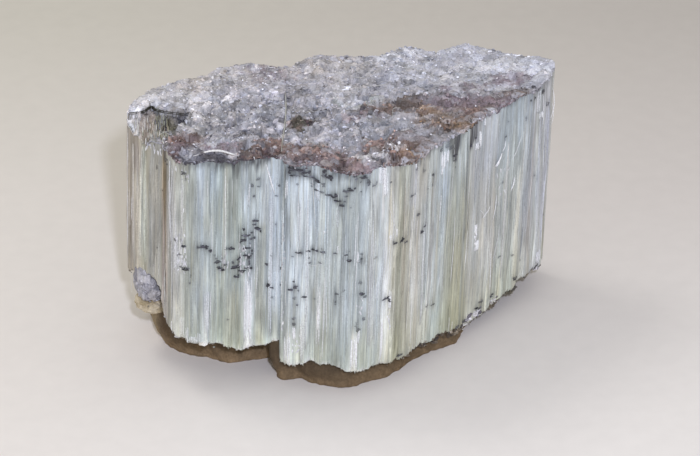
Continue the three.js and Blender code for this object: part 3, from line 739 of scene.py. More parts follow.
    (29.4, 6.6, 3.6, 2.4, 48, "mauve", 0.9), (28.4, 9.4, 3.6, 1.4, 12, "lilac", 0.6), (32.6, 10.2, 3.2, 1.6, 30, "brown", 0.6),
    (34.6, 12.0, 3.4, 1.0, 35, "charcoal", 0.4), (38.4, 16.0, 2.2, 2.4, 60, "pale", 0.7), (36.6, 13.4, 0.8, 0.7, 0, "charcoal", 0.6), (15.2, -1.0, 2.4, 1.2, 10, "gold", 0.5),
    (24, 13.0, 7.0, 1.2, 10, "mauve", 0.40), (20.5, 3.4, 3.0, 1.0, 10, "brown", 0.5),
    # scar at the left end: streaky white-green, pinkish taupe, pale greenish, olive, blue-black, pale ledge
    (-37.8, -2.6, 1.7, 2.6, 0, "warmgrey", 0.9), (-38.4, -2.4, 0.35, 2.2, 0, "white", 0.7), (-37.5, -2.2, 0.35, 2.2, 0, "white", 0.7),
    (-38.0, -2.6, 0.25, 2.0, 0, "greenish", 0.8), (-36.9, -2.0, 0.3, 2.0, 0, "pale", 0.7),
    (-35.6, -3.0, 1.5, 3.0, 0, "taupe", 0.95), (-36.0, -2.4, 0.3, 2.4, 0, "mauve", 0.6), (-34.9, -2.6, 0.35, 2.0, 0, "mauve", 0.35),
    (-35.0, -6.4, 2.0, 2.0, 20, "taupe", 0.8), (-36.6, -6.4, 1.2, 0.8, 0, "white", 0.8), (-34.8, -7.6, 1.1, 0.7, 0, "white", 0.7), (-36.0, -7.6, 0.8, 0.5, 0, "charcoal", 0.6), (-34.9, -7.2, 0.6, 0.5, 0, "charcoal", 0.5),
    (-33.3, -1.6, 1.0, 1.3, 0, "greenish", 0.85), (-33.6, -1.2, 0.5, 0.8, 0, "pale", 0.5), (-33.4, -6.8, 1.4, 1.6, 20, "greenish", 0.6),
    (-31.4, -3.6, 1.5, 3.6, 0, "olive_dark", 0.95), (-30.7, -6.6, 0.8, 2.4, 0, "olive_dark", 0.8), (-31.8, -6.8, 0.9, 1.6, 0, "olive_dark", 0.6),
    (-31.0, -3.2, 0.3, 2.6, 0, "taupe", 0.45), (-30.5, -2.0, 0.25, 1.6, 0, "charcoal", 0.6),
    (-33.3, -3.6, 0.5, 0.6, 0, "charcoal", 0.85), (-32.4, -3.8, 0.5, 0.6, 0, "charcoal", 0.85), (-33.9, -4.6, 0.5, 0.6, 0, "charcoal", 0.8),
    (-32.9, -5.3, 0.5, 0.6, 0, "charcoal", 0.85), (-32.1, -6.2, 0.5, 0.5, 0, "charcoal", 0.8), (-32.2, -2.6, 0.5, 0.9, 0, "charcoal", 0.6),
    # painted shade in the deep recess at the back of the scar
    (-29.1, -2.1, 1.5, 1.5, 0, "charcoal", 1.0), (-29.4, -3.2, 1.0, 0.7, 0, "charcoal", 0.8), (-28.6, -1.4, 0.8, 0.7, 0, "charcoal", 0.95),
    (-28.4, -6.6, 1.5, 1.3, 0, "pale", 0.85), (-28.0, -5.4, 1.4, 0.9, 0, "greenish", 0.5), (-26.8, -4.2, 1.9, 3.4, 0, "pale", 0.8), (-26.4, -4.6, 1.7, 3.2, 0, "white", 0.75), (-25.6, -8.4, 1.4, 1.6, 0, "pale", 0.7),
]
# width of the painted shadow line along the back of the scar, under its small cliff
SCAR_LINE = 0.40


def wall_tone(x, y, pick=None):
    """Tone of the upper wall at a place. Patches mingle grain by grain when pick (a random
    number for each grain) is given, and fade into each other otherwise."""
    loose = 1 - 0.72 * smooth((-26.0 - x) / 1.5) * smooth((3.0 - y) / 1.5)     # steadier in and by the scar
    wx = x + loose * (1.0 * noise2(x / 1.9, y / 1.9, 201) + 0.5 * noise2(x / 0.7, y / 0.7, 203))
    wy = y + loose * (1.0 * noise2(x / 1.9, y / 1.9, 202) + 0.5 * noise2(x / 0.7, y / 0.7, 204))
    colour = np.ones(np.shape(x) + (3,)) * TONES["lilac"]
    colour = mix(colour, TONES["grey"], (0.30 * smooth(noise2(x / 5, y / 5, 205) + 0.3))[..., None])
    for n, (px, py, a, b, turn, tone, k) in enumerate(PATCHES):
        c, s = math.cos(math.radians(turn)), math.sin(math.radians(turn))
        u = ((wx - px) * c + (wy - py) * s) / a
        v = (-(wx - px) * s + (wy - py) * c) / b
        w = k * smooth(1.6 - 1.2 * np.sqrt(u * u + v * v))
        if pick is not None:
            chance = np.mod(pick * 7.13 + n * 0.6180339, 1.0)
            w = 0.30 * w + 0.70 * smooth((w - chance) * 4 + 0.5) * (w > 0.02)
        colour = mix(colour, TONES[tone], w[..., None])
    # mid-size lights and darks; on the right they run along the lamellae, parallel to the edge
    d = scar(x, y)
    lump = 0.62 * noise2(x / 1.35, y / 1.9, 213) + 0.38 * noise2(x / 0.62, y / 0.9, 214)
    u, v = 0.79 * x + 0.61 * y, 0.79 * y - 0.61 * x
    streak = 0.60 * noise2(u / 3.4, v / 0.85, 211) + 0.40 * noise2(u / 1.5, v / 0.42, 212)
    level = lump + (streak - lump) * 0.8 * smooth((x - 3) / 9)
    torn = 0.55 * noise1(x / 0.24, 215) + 0.45 * noise1(x / 0.6, 216)
    bare = smooth(d / 0.5) * smooth((-32.6 - x) / 0.8)
    level = level * (1 - bare) + torn * bare * 0.8
    # painted shade: the hollows that crust_height sinks into the relief are darkened here too
    hollow = smooth((0.6 * noise2(x / 0.95, y / 1.3, 221) + 0.4 * noise2(x / 0.42, y / 0.6, 222) - 0.34) / 0.22)
    hollow = hollow * (1 - bare) * np.clip(0.35 + roughness_of(x, y), 0, 1)
    lift = 1.04 + 0.05 * smooth((-4 - x) / 6)
    far = (smooth((x - 2) / 8) * smooth((y - 9) / 6))[..., None]
    colour = colour * (1 + far * np.array([-0.035, -0.01, 0.03]))
    colour = colour * (lift * np.exp((0.38 + 0.05 * smooth((x - 3) / 9)) * level) * (1 - 0.46 * hollow))[..., None]
    # painted shadow: a dark line along the back of the scar, under its small cliff
    edge = smooth(1.3 - np.abs(d - 0.30) / SCAR_LINE) * (d > 0) * (0.55 + 0.45 * smooth(2 * noise2(x / 1.2, y / 1.2, 207) + 0.9))
    colour = mix(colour, srgb(54, 50, 42), edge[..., None])
    run = 0.6 * noise1((x + 0.30 * y) / 0.22, 217) + 0.4 * noise1((x + 0.30 * y) / 0.7, 218)
    laid = (smooth(d / 0.5) * smooth((-31.6 - x) / 0.8) * smooth((d - 4.4 + 0.8 * noise1(x / 0.8, 219)) / 1.0))[..., None]
    colour = mix(colour, srgb(160, 154, 140) * np.exp(0.42 * run)[..., None], 0.85 * laid)
    colour = colour * (1 - 0.10 * bare)[..., None]
    # painted shade in the deep recess at the back of the scar
    recess_shade = np.exp(-(((x + 29.1) / 1.35) ** 2 + ((y + 1.9) / 1.15) ** 2) ** 1.5) * smooth(d / 0.15)
    colour = mix(colour, srgb(50, 50, 60), 0.85 * recess_shade[..., None])
    return colour


def grain_tone(px, py, ci, cj, seed, spread=1.0):
    """Colour of one grain: the tone where it sits, with its own shade."""
    base = wall_tone(px, py, hashed(ci, cj, 14, seed))
    warmth = smooth((base[..., 0] / np.maximum(base[..., 2], 1e-3) - 1.05) / 0.35)
    spread = spread * roughness_of(px, py) * (1 + 0.45 * warmth)
    level = np.exp((hashed(ci, cj, 7, seed) + hashed(ci, cj, 8, seed) + hashed(ci, cj, 9, seed) - 1.5) * 0.48 * spread)
    warm = (hashed(ci, cj, 10, seed) - 0.5) * 0.12 * spread
    colour = base * level[..., None] * np.stack([1 + warm, 1 + 0.1 * warm, 1 - warm], -1)
    pick = hashed(ci, cj, 12, seed)
    dark = np.where(pick < 0.06 * spread, 0.5, 1.0)
    bright = (pick > 1 - 0.025 * spread)[..., None]
    colour = colour * dark[..., None]
    return np.where(bright, mix(colour, np.array([0.82, 0.82, 0.87]), 0.5), colour)


# ------------------------------------------------------------- fibres: structure
def cell_edges(mean, spread, seed):
    """Edges of the fibre bundles of one size round the whole outline."""
    rng = np.random.default_rng(seed)
    widths = mean * np.exp(rng.normal(0, spread, int(PERIMETER / mean * 1.6)))
    edges = np.concatenate([[0], np.cumsum(widths)])
    edges = edges[edges < PERIMETER - mean * 0.6]
    return np.append(edges, PERIMETER)


# mean width, spread, bulge, step, run length, wander, shade, hue, seed
LEVELS = (
    dict(w=6.2, spread=0.35, bulge=0.16, step=0.16, run=40.0, wander=0.9, shade=0.045, hue=0.03, seed=301),
    dict(w=2.6, spread=0.45, bulge=0.20, step=0.15, run=15.0, wander=0.45, shade=0.085, hue=0.04, seed=302),
    dict(w=1.05, spread=0.45, bulge=0.11, step=0.09, run=8.0, wander=0.26, shade=0.125, hue=0.04, seed=303),
    dict(w=0.42, spread=0.40, bulge=0.05, step=0.045, run=5.0, wander=0.14, shade=0.12, hue=0.03, seed=304),
)
for level in LEVELS:
    level["edges"] = cell_edges(level["w"], level["spread"], level["seed"])


def fibre_structure(s, z):
    """Relief (mm outward), shade factor, hue shift and the mask for painted shade in the creases between bundles, of
    the fibre surface at (s, z).
    """
    relief = np.zeros(np.shape(s))
    shade = np.zeros(np.shape(s))
    hue = np.zeros(np.shape(s))
    valley_shade = np.zeros(np.shape(s))
    hold = 1 - 0.7 * smooth(1.4 - np.abs(s - 41.35))
    for n, level in enumerate(LEVELS):
        seed = level["seed"]
        se = s + level["wander"] * (0.7 * noise2(s / (level["w"] * 2.5), z / 17.0, seed + 20) + 0.3 * noise2(s / level["w"], z / 6.0, seed + 21))
        se = np.mod(se, PERIMETER)
        edges = level["edges"]
        k = np.clip(np.searchsorted(edges, se, side="right") - 1, 0, len(edges) - 2)
        t = (se - edges[k]) / (edges[k + 1] - edges[k])
        wide = np.clip((edges[k + 1] - edges[k]) / level["w"], 0.4, 1.8)
        phase = hashed(k, 0, 1, seed)
        q = z / (level["run"] * (0.5 + hashed(k, 0, 2, seed))) + phase * 7
        run, f = np.floor(q), smooth(q - np.floor(q))

        def along(channel):
            return (hashed(k, run, channel, seed) * (1 - f) + hashed(k, run + 1, channel, seed) * f) * 2 - 1

        bulge = np.sqrt(np.maximum(1 - (2 * t - 1) ** 2, 0.0)) - 0.7
        relief += level["bulge"] * wide * bulge + level["step"] * 1.2 * along(3)
        # a fibre sheet that stands off at one side
        relief += level["step"] * 0.9 * along(4) * (t - 0.5)
        shade += level["shade"] * along(5) * 1.5
        hue += level["hue"] * along(6) * 1.2
        # painted shade: darker where bundles meet, in the creases between them
        edge = np.exp(-np.minimum(t, 1 - t) * (edges[k + 1] - edges[k]) / 0.09)
        valley_shade = np.maximum(valley_shade, edge * (0.35, 0.55, 0.42, 0.22)[n] * hashed(k, 0, 7, seed))
    return relief * hold, shade, hue, valley_shade


FIBRE_TONES = {
    "frost": srgb(209, 217, 219), "mist": srgb(186, 187, 180), "moss": srgb(160, 168, 160), "silver": srgb(188, 196, 195), "sage": srgb(174, 179, 171),
    "olive": srgb(174, 174, 156), "cream": srgb(205, 203, 189), "taupe": srgb(174, 165, 153),
    "ochre": srgb(134, 118, 88), "white": srgb(240, 242, 243), "steel": srgb(146, 154, 158),
    "lavender": srgb(200, 203, 211), "rose": srgb(194, 180, 172), "pearl": srgb(204, 205, 201),
}
# Ground tone round the outline: (s, tone).
GROUND = [
    (0, "taupe"), (4, "taupe"), (5.6, "cream"), (7.5, "olive"), (11, "mist"), (14, "taupe"), (18.0, "mist"), (20.0, "mist"), (21.8, "sage"), (25, "silver"),
    (28.4, "moss"), (30.6, "moss"), (33, "silver"), (36.6, "silver"), (38.2, "frost"), (40.6, "silver"), (42.4, "frost"), (46, "frost"),
    (49.5, "silver"), (53, "silver"), (56, "silver"), (60, "frost"), (62.6, "pearl"), (64.4, "olive"), (67, "mist"),
    (71, "pearl"), (75.5, "silver"), (78.5, "sage"), (82, "olive"), (85, "pearl"), (89, "pearl"), (93.5, "silver"),
    (99, "silver"), (104, "lavender"), (108.5, "lavender"), (111, "pearl"), (116, "silver"), (124, "pearl"), (132, "sage"),
    (141, "silver"), (150, "frost"), (158, "pearl"), (166, "olive"), (174, "silver"), (184, "pearl"), (192, "cream"),
    (199, "sage"), (205, "taupe"), (207.4, "taupe"),
]
# Bands on the fibres: middle s, half width, lowest z, highest z, tone, strength.
BANDS = [
    (9.8, 1.6, 8, 50, "taupe", 0.3), (9.4, 0.4, 14, 34, "steel", 0.4), (2.0, 0.8, 14, 46, "taupe", 0.4), (4.9, 0.7, 14, 44, "rose", 0.5), (11.6, 0.6, 14, 42, "cream", 0.5), (12.8, 0.8, 14, 40, "olive", 0.4), (14.7, 1.0, 30, 50, "ochre", 0.8), (15.8, 0.7, 26, 45, "ochre", 0.75),
    (13.6, 1.0, 12, 36, "rose", 0.55), (16.4, 0.8, 8, 32, "rose", 0.45), (5.4, 1.6, 14, 38, "cream", 0.55), (1.4, 0.6, 14, 40, "cream", 0.25),
    (7.2, 0.9, 20, 46, "sage", 0.6), (18.9, 0.35, 9, 47, "white", 0.35), (19.8, 0.8, 24, 32, "white", 0.3), (20.2, 0.9, 34, 47, "sage", 0.5),
    (22.2, 1.0, 18, 44, "sage", 0.5), (24.4, 0.8, 36, 47, "frost", 0.6), (25.4, 0.5, 8, 20, "white", 0.4),
    (26.4, 1.6, 22, 36, "sage", 0.45), (28.6, 0.35, 24, 46, "cream", 0.5), (29.8, 1.2, 6, 46, "sage", 0.55), (30.4, 1.6, 6, 20, "olive", 0.45),
    (32.0, 0.7, 36, 47, "frost", 0.65), (33.1, 0.75, 6, 23, "white", 0.7), (34.2, 1.0, 34, 46, "silver", 0.5),
    (34.2, 1.2, 24, 32, "steel", 0.25), (35.4, 0.8, 6, 34, "olive", 0.6), (36.2, 1.0, 34, 47, "pearl", 0.4), (37.8, 1.4, 18, 46, "frost", 0.55), (37.6, 1.8, 5, 16, "sage", 0.6),
    (39.2, 1.0, 6, 30, "pearl", 0.4), (41.38, 0.30, 34, 47, "steel", 0.95), (42.0, 0.22, 10, 38, "steel", 0.5), (42.6, 1.4, 24, 47, "silver", 0.5), (42.8, 0.5, 5, 12, "white", 0.8), (44.0, 1.6, 14, 46, "frost", 0.6),
    (45.4, 0.4, 5, 16, "cream", 0.5), (43.6, 0.5, 12, 22, "steel", 0.35), (47.2, 0.9, 8, 28, "silver", 0.4), (48.4, 0.4, 10, 22, "white", 0.45),
    (50.2, 1.4, 5, 44, "silver", 0.4), (49.8, 2.5, 5, 14, "olive", 0.3), (52.2, 1.0, 30, 42, "sage", 0.35), (53.3, 0.8, 18, 44, "steel", 0.30),
    (53.6, 0.5, 6, 24, "frost", 0.4), (55.3, 0.7, 4, 13, "white", 0.85), (56.6, 0.8, 14, 30, "steel", 0.30), (56.8, 1.0, 4, 14, "sage", 0.5),
    (58.6, 0.8, 10, 44, "pearl", 0.4), (60.5, 0.9, 6, 48, "frost", 0.7), (60.4, 0.35, 36, 48, "white", 0.9), (61.4, 0.6, 6, 34, "white", 0.35),
    (62.3, 0.35, 30, 47, "cream", 0.7), (66.0, 1.6, 36, 47, "silver", 0.6), (63.8, 0.7, 30, 44, "olive", 0.15), (64.4, 1.4, 8, 30, "olive", 0.35), (65.4, 0.5, 20, 40, "taupe", 0.35),
    (67.6, 1.3, 36, 47, "lavender", 0.55), (67.0, 0.9, 5, 30, "cream", 0.5), (69.6, 0.7, 5, 34, "taupe", 0.30), (71.6, 1.6, 12, 36, "silver", 0.5), (72.8, 1.0, 30, 46, "silver", 0.5), (54.2, 1.2, 14, 44, "steel", 0.12),
    (73.6, 0.5, 5, 40, "taupe", 0.35), (75.2, 0.5, 10, 34, "cream", 0.5), (76.6, 1.1, 34, 47, "frost", 0.55), (76.9, 0.5, 14, 36, "frost", 0.4),
    (78.2, 1.0, 4, 30, "olive", 0.4), (81.2, 1.6, 36, 47, "silver", 0.75), (80.6, 1.3, 18, 38, "sage", 0.6), (80.8, 2.2, 3, 24, "olive", 0.75), (82.6, 0.4, 4, 44, "steel", 0.45),
    (83.8, 0.8, 3, 30, "olive", 0.4), (86.4, 1.2, 14, 34, "frost", 0.35), (87.6, 0.5, 34, 46, "frost", 0.5), (89.4, 1.6, 14, 30, "pearl", 0.4),
    (91.8, 0.7, 6, 44, "taupe", 0.30), (94.4, 1.4, 34, 46, "silver", 0.5), (95.4, 0.6, 4, 30, "cream", 0.3), (97.4, 0.9, 20, 40, "sage", 0.3),
    (99.4, 0.7, 4, 30, "cream", 0.4), (101.2, 1.2, 20, 45, "steel", 0.32), (103.4, 0.6, 4, 36, "taupe", 0.3), (104.9, 0.9, 8, 46, "frost", 0.7),
    (106.6, 0.5, 10, 40, "sage", 0.4), (108.6, 0.8, 4, 40, "lavender", 0.5), (110.6, 0.4, 6, 44, "cream", 0.5),
]


# Lighter and darker runs of fibre: middle s, half width, lowest z, highest z, change.
RUNS = [
    # left end, up to the white-edged fold
    (6.5, 2.6, 28, 44, -0.06), (16.5, 0.9, 18, 44, -0.17), (4.4, 1.8, 37, 48, -0.24), (6.6, 0.9, 26, 40, 0.10), (7.9, 0.7, 26, 42, 0.30), (10.9, 0.7, 30, 38, 0.32), (13.5, 0.8, 32, 46, 0.30),
    (13.5, 0.8, 14, 30, 0.07), (16.2, 0.6, 34, 46, -0.25), (18.3, 0.75, 8, 46, -0.33), (17.2, 1.1, 9, 17, -0.20), (19.7, 0.6, 28, 46, -0.08),
    # white-edged fold to the crack
    (20.8, 0.65, 9, 46, 0.33), (21.9, 0.6, 8, 38, 0.09), (22.9, 1.3, 8, 17, 0.25), (24.6, 0.7, 9, 24, -0.10), (25.6, 0.6, 26, 46, 0.08),
    (27.8, 0.8, 30, 42, -0.07), (29.2, 0.7, 32, 46, -0.30), (30.2, 0.6, 30, 38, -0.09), (31.0, 0.5, 24, 31, 0.12), (31.9, 0.6, 22, 40, 0.10),
    (28.2, 1.5, 5, 11, 0.28), (37.0, 1.3, 4, 11, 0.5), (31.9, 0.7, 6, 16, -0.12), (32.8, 0.6, 24, 40, 0.13), (33.7, 0.45, 38, 46, -0.28), (34.5, 0.7, 30, 42, 0.28), (34.6, 0.8, 8, 30, -0.06),
    (35.5, 0.6, 31, 40, 0.08), (36.7, 0.8, 6, 30, -0.18), (37.6, 0.6, 22, 38, -0.14), (39.0, 0.7, 8, 32, 0.10), (40.7, 0.6, 14, 44, 0.36),
    # right of the crack
    (53.5, 0.7, 5, 20, -0.14), (59.3, 0.8, 28, 42, -0.14), (42.05, 0.5, 6, 37, -0.45), (44.2, 0.5, 38, 45, 0.10), (44.2, 0.6, 24, 32, -0.08), (45.9, 0.7, 8, 34, -0.14), (48.7, 0.7, 14, 46, 0.27),
    (49.7, 0.7, 8, 45, 0.08), (50.6, 0.6, 14, 40, 0.20), (51.7, 0.7, 16, 38, 0.09), (52.0, 1.2, 5, 13, -0.20), (51.5, 0.5, 38, 46, -0.2), (54.2, 0.9, 16, 32, 0.20),
    (56.8, 0.9, 38, 46, 0.22), (57.2, 0.5, 28, 37, -0.16), (59.5, 0.6, 8, 31, 0.09), (60.6, 0.5, 30, 46, -0.26), (61.7, 0.5, 30, 38, -0.28),
    (61.7, 0.5, 8, 24, 0.16), (62.7, 0.7, 5, 26, 0.42), (62.8, 0.6, 26, 46, 0.14), (65.8, 0.9, 12, 32, -0.14), (70.6, 1.4, 30, 44, -0.13), (69.6, 1.2, 38, 46, -0.18),
    (69.6, 1.2, 12, 30, -0.16),
    # right face
    (78.6, 1.2, 14, 38, -0.13), (86.5, 1.0, 36, 46, -0.15), (93.6, 1.0, 32, 44, -0.16), (102.4, 1.6, 26, 48, -0.15), (83.5, 0.8, 22, 32, -0.22), (89.6, 0.9, 12, 30, -0.12), (91.4, 0.7, 12, 46, 0.15), (97.6, 0.8, 24, 32, -0.16),
    (99.4, 1.2, 30, 46, -0.14), (100.8, 0.7, 28, 38, 0.18), (104.6, 1.4, 36, 48, -0.34), (103.4, 1.6, 18, 38, -0.18), (107.0, 1.0, 20, 48, -0.15),
]


def fibre_tint(s, z, hue_shift, shade):
    """Colour of the fibres at (s, z)."""
    wob = s + 0.35 * noise2(s / 2.2, z / 16, 401) + 0.15 * noise2(s / 0.8, z / 7, 402)
    ground = np.array([FIBRE_TONES[t] for _, t in GROUND])
    places = np.array([p for p, _ in GROUND])
    colour = np.stack([np.interp(np.mod(wob, PERIMETER), places, ground[:, c]) for c in range(3)], -1)
    for mid, half, low, high, tone, k in BANDS:
        d = np.abs(wob - mid) / half
        w = k * smooth(1.5 - d) * smooth((z - low) / 3 + 0.5) * smooth((high - z) / 3 + 0.5)
        colour = mix(colour, FIBRE_TONES[tone], w[..., None])
    for mid, half, low, high, k in RUNS:
        w = smooth(1.5 - np.abs(wob - mid) / half) * smooth((z - low) / 4 + 0.5) * smooth((high - z) / 4 + 0.5)
        colour = colour * np.exp(k * w)[..., None]
    # cooler up the middle, warmer on the right face
    cool = smooth((s - 21) / 4) * smooth((58 - s) / 4) * smooth((z - 22) / 10)
    cool = cool + 0.9 * smooth((s - 3.5) / 2) * smooth((9.5 - s) / 2) * smooth((z - 18) / 6) * smooth((46 - z) / 6)
    cool = cool + 0.8 * smooth((s - 25) / 2) * smooth((30 - s) / 2) * smooth((z - 20) / 6) * smooth((36 - z) / 6)
    warm = smooth((s - 89) / 4) * smooth((106 - s) / 6) * smooth((34 - z) / 8)
    chill = (smooth((s - 73) / 4) * smooth((104 - s) / 6) * smooth((z - 28) / 10))[..., None]
    colour = colour * (1 + chill * np.array([-0.03, 0.0, 0.085]))
    colour = colour * (1 + cool[..., None] * np.array([-0.022, 0.0, 0.042])) * (1 + warm[..., None] * np.array([0.036, 0.0, -0.03]))
    # the lower third is a little warmer and greener
    low = smooth((20 - z) / 16)[..., None] * 0.75
    colour = mix(colour, colour * np.array([1.0, 1.0, 0.86]), low)
    # soft, long blotches
    blotch = noise2(s / 1.7, z / 11.0, 403) * 0.6 + noise2(s / 0.9, z / 6.0, 404) * 0.4
    colour = 0.945 * colour * np.exp(0.13 * blotch)[..., None]
    colour = colour * np.exp(shade)[..., None]
    hue_shift = hue_shift * (1 - 0.35 * smooth((s - 57) / 6) * smooth((112 - s) / 4))
    colour = colour * np.stack([1 + 0.3 * hue_shift, np.ones_like(hue_shift), 1 - 0.7 * hue_shift], -1)
    return colour


def fibre_end(s):
    """Height of the fibre ends at arc length s."""
    p, _ = at_outline(s)
    x, y = p[..., 0], p[..., 1]
    front = np.interp(x, [a for a, _ in FIBRE_END], [b for _, b in FIBRE_END])
    # the step beside the crack
    front = np.where((s > 38.2) & (s < 41.2), mix(front, np.where(s < 39.7, 8.8, 4.9), smooth(1.6 - np.abs(s - 39.7) / 0.9)), front)
    back = FIBRE_END_BACK + 0.5 * noise2(x / 4, y / 4, 11)
    t = smooth((y - 2) / 16) * np.where(s < 106, 0.0, 1.0) * 1.0
    t = np.where(s > 112, smooth((y - 2) / 16), t * smooth((s - 106) / 6))
    end = front * (1 - t) + back * t
    k2 = np.searchsorted(LEVELS[2]["edges"], s) ; k3 = np.searchsorted(LEVELS[3]["edges"], s)
    k1 = np.searchsorted(LEVELS[1]["edges"], s)
    end = end + 0.12 * (2 * hashed(k1, 0, 31, 5) - 1) + 0.16 * (2 * hashed(k2, 0, 32, 5) - 1) + 0.12 * (2 * hashed(k3, 0, 33, 5) - 1)
    return end


# ---------------------------------------------------------------- fibres: mesh
def row_places():
    """Heights of the rows between the fibre ends (0) and the rim (1)."""
    mm = [0, 0.14, 0.34, 0.62, 1.0]
    low = [v / 41.0 for v in mm]
    high = [1 - v / 41.0 for v in (1.9, 1.3, 0.85, 0.5, 0.22, 0)]
    middle = list(np.linspace(low[-1], high[0], 60)[1:-1])
    return np.array(low + middle + high)


ROWS = row_places()
front_s = np.linspace(0, FRONT_LENGTH, 916)[:-1]
back_s = np.linspace(FRONT_LENGTH, PERIMETER, 384)[:-1]
SIDE_S = np.concatenate([front_s, back_s])
SIDE_P, SIDE_N = at_outline(SIDE_S)
SIDE_END = fibre_end(SIDE_S)
rim0 = np.zeros(len(SIDE_S))
SIDE_TOP = wall_base(SIDE_P[:, 0], SIDE_P[:, 1], np.where(SIDE_S < FRONT_LENGTH + 3, 0.0, 2.5)) - 0.30
SIDE_Z = SIDE_END[:, None] + (SIDE_TOP - SIDE_END)[:, None] * ROWS[None, :]
grid_s = np.broadcast_to(SIDE_S[:, None], SIDE_Z.shape)
RELIEF, SHADE, HUE, VALLEY_SHADE = fibre_structure(grid_s, SIDE_Z)


def ease_ends(z, end, top):
    """Fibres pull in a little where they are broken off."""
    return -0.22 * smooth(1 - (z - end) / 0.7) - 0.05 * smooth(1 - (top - z) / 0.6)


SIDE_OUT = RELIEF + ease_ends(SIDE_Z, SIDE_END[:, None], SIDE_TOP[:, None])
SIDE_POS = np.concatenate([SIDE_P[:, None, :] + SIDE_N[:, None, :] * SIDE_OUT[..., None], SIDE_Z[..., None]], -1)


def on_side(s, z, lift=0.0):
    """Point on the displaced fibre surface at (s, z) and the outward normal in plan."""
    s = np.mod(np.asarray(s, float), PERIMETER)
    i = np.clip(np.searchsorted(SIDE_S, s, side="right") - 1, 0, len(SIDE_S) - 1)
    j = (i + 1) % len(SIDE_S)
    nxt = np.where(j == 0, PERIMETER, SIDE_S[j])
    f = (s - SIDE_S[i]) / (nxt - SIDE_S[i])
    end = SIDE_END[i] * (1 - f) + SIDE_END[j] * f
    top = SIDE_TOP[i] * (1 - f) + SIDE_TOP[j] * f
    t = np.clip((z - end) / (top - end), 0, 1)
    r = np.clip(np.searchsorted(ROWS, t, side="right") - 1, 0, len(ROWS) - 2)
    g = (t - ROWS[r]) / (ROWS[r + 1] - ROWS[r])
    a = SIDE_OUT[i, r] * (1 - g) + SIDE_OUT[i, r + 1] * g
    b = SIDE_OUT[j, r] * (1 - g) + SIDE_OUT[j, r + 1] * g
    p, n = at_outline(s)
    xy = p + n * (a * (1 - f) + b * f + lift)[..., None]
    return np.concatenate([xy, np.asarray(z, float)[..., None]], -1), n


# Dark specks and short dashes in the fibres: s, z, width, height, darkness.
MARKS_LEFT = [
    (23.8, 29.8, 1.4, 0.4, 0.7), (24.9, 29.8, 1.4, 0.7, 1.0), (26.0, 29.0, 1.1, 0.6, 0.9), (26.8, 28.0, 0.5, 0.6, 0.4),
    (27.3, 26.5, 0.8, 1.0, 0.8), (27.0, 27.2, 0.5, 0.4, 0.6), (27.7, 25.2, 0.7, 0.6, 0.8), (28.4, 24.8, 0.8, 0.6, 0.8),
    (28.8, 25.8, 0.7, 0.6, 0.7), (28.2, 27.2, 0.5, 0.6, 0.4), (29.0, 29.2, 0.7, 0.6, 0.5), (29.9, 29.0, 1.1, 0.8, 1.0),
    (32.1, 32.8, 0.4, 0.8, 0.8), (32.6, 31.5, 1.3, 0.6, 0.9), (31.9, 31.5, 0.5, 0.4, 0.7), (32.2, 30.5, 1.0, 0.6, 0.9),
    (31.5, 30.0, 0.9, 0.6, 0.7), (33.3, 29.8, 0.5, 0.4, 0.6), (32.8, 28.8, 1.3, 0.4, 0.8), (33.6, 30.8, 0.5, 0.6, 0.7),
    (32.5, 27.2, 1.3, 0.4, 1.0), (33.1, 27.0, 0.7, 1.0, 1.0), (33.7, 28.2, 0.3, 1.6, 0.8), (31.4, 26.8, 0.9, 0.6, 0.9),
    (31.0, 26.5, 0.6, 0.4, 0.8), (30.2, 26.0, 0.5, 0.8, 0.7), (30.6, 25.0, 1.1, 0.8, 1.0), (31.4, 24.8, 0.7, 0.4, 0.9),
    (31.9, 24.0, 1.1, 0.6, 1.0), (30.9, 23.0, 1.0, 0.6, 1.0), (32.6, 24.5, 0.9, 0.4, 0.7), (33.6, 24.5, 0.5, 0.8, 0.9),
    (33.2, 25.8, 0.3, 1.2, 0.9), (34.1, 34.5, 0.7, 0.6, 1.0), (34.0, 33.8, 0.7, 0.4, 0.8), (34.6, 32.8, 1.3, 0.6, 0.9),
    (35.2, 32.2, 0.3, 0.8, 0.8), (33.6, 32.2, 0.5, 0.4, 0.7), (34.0, 31.0, 0.5, 0.6, 0.7), (21.1, 44.8, 1.2, 0.6, 0.7),
    (21.5, 43.8, 0.5, 1.0, 0.5), (21.2, 29.8, 0.8, 0.8, 0.8), (19.5, 30.8, 0.8, 0.6, 0.6), (20.4, 27.8, 0.8, 0.6, 0.6),
    (21.4, 25.2, 1.7, 0.7, 0.9), (22.6, 23.8, 0.3, 1.2, 0.5), (22.4, 22.2, 0.5, 0.8, 0.5), (33.6, 42.0, 0.7, 1.0, 0.6),
    (33.9, 39.8, 0.7, 0.8, 0.6), (34.6, 43.2, 0.7, 0.6, 0.5), (36.5, 25.2, 0.8, 0.6, 0.8), (36.8, 20.8, 0.7, 1.0, 0.9),
    (37.5, 20.5, 0.8, 0.4, 0.8), (40.1, 21.0, 1.2, 0.4, 0.7), (39.9, 24.5, 1.2, 0.6, 0.7), (38.1, 39.8, 0.7, 0.4, 0.5),
    (38.5, 42.0, 0.5, 0.8, 0.5), (16.6, 45.2, 1.0, 1.8, 0.6), (11.0, 42.0, 0.4, 1.6, 0.35),
    (17.9, 37.5, 0.3, 2.6, 0.6), (18.1, 33.5, 0.3, 2.0, 0.5), 
]
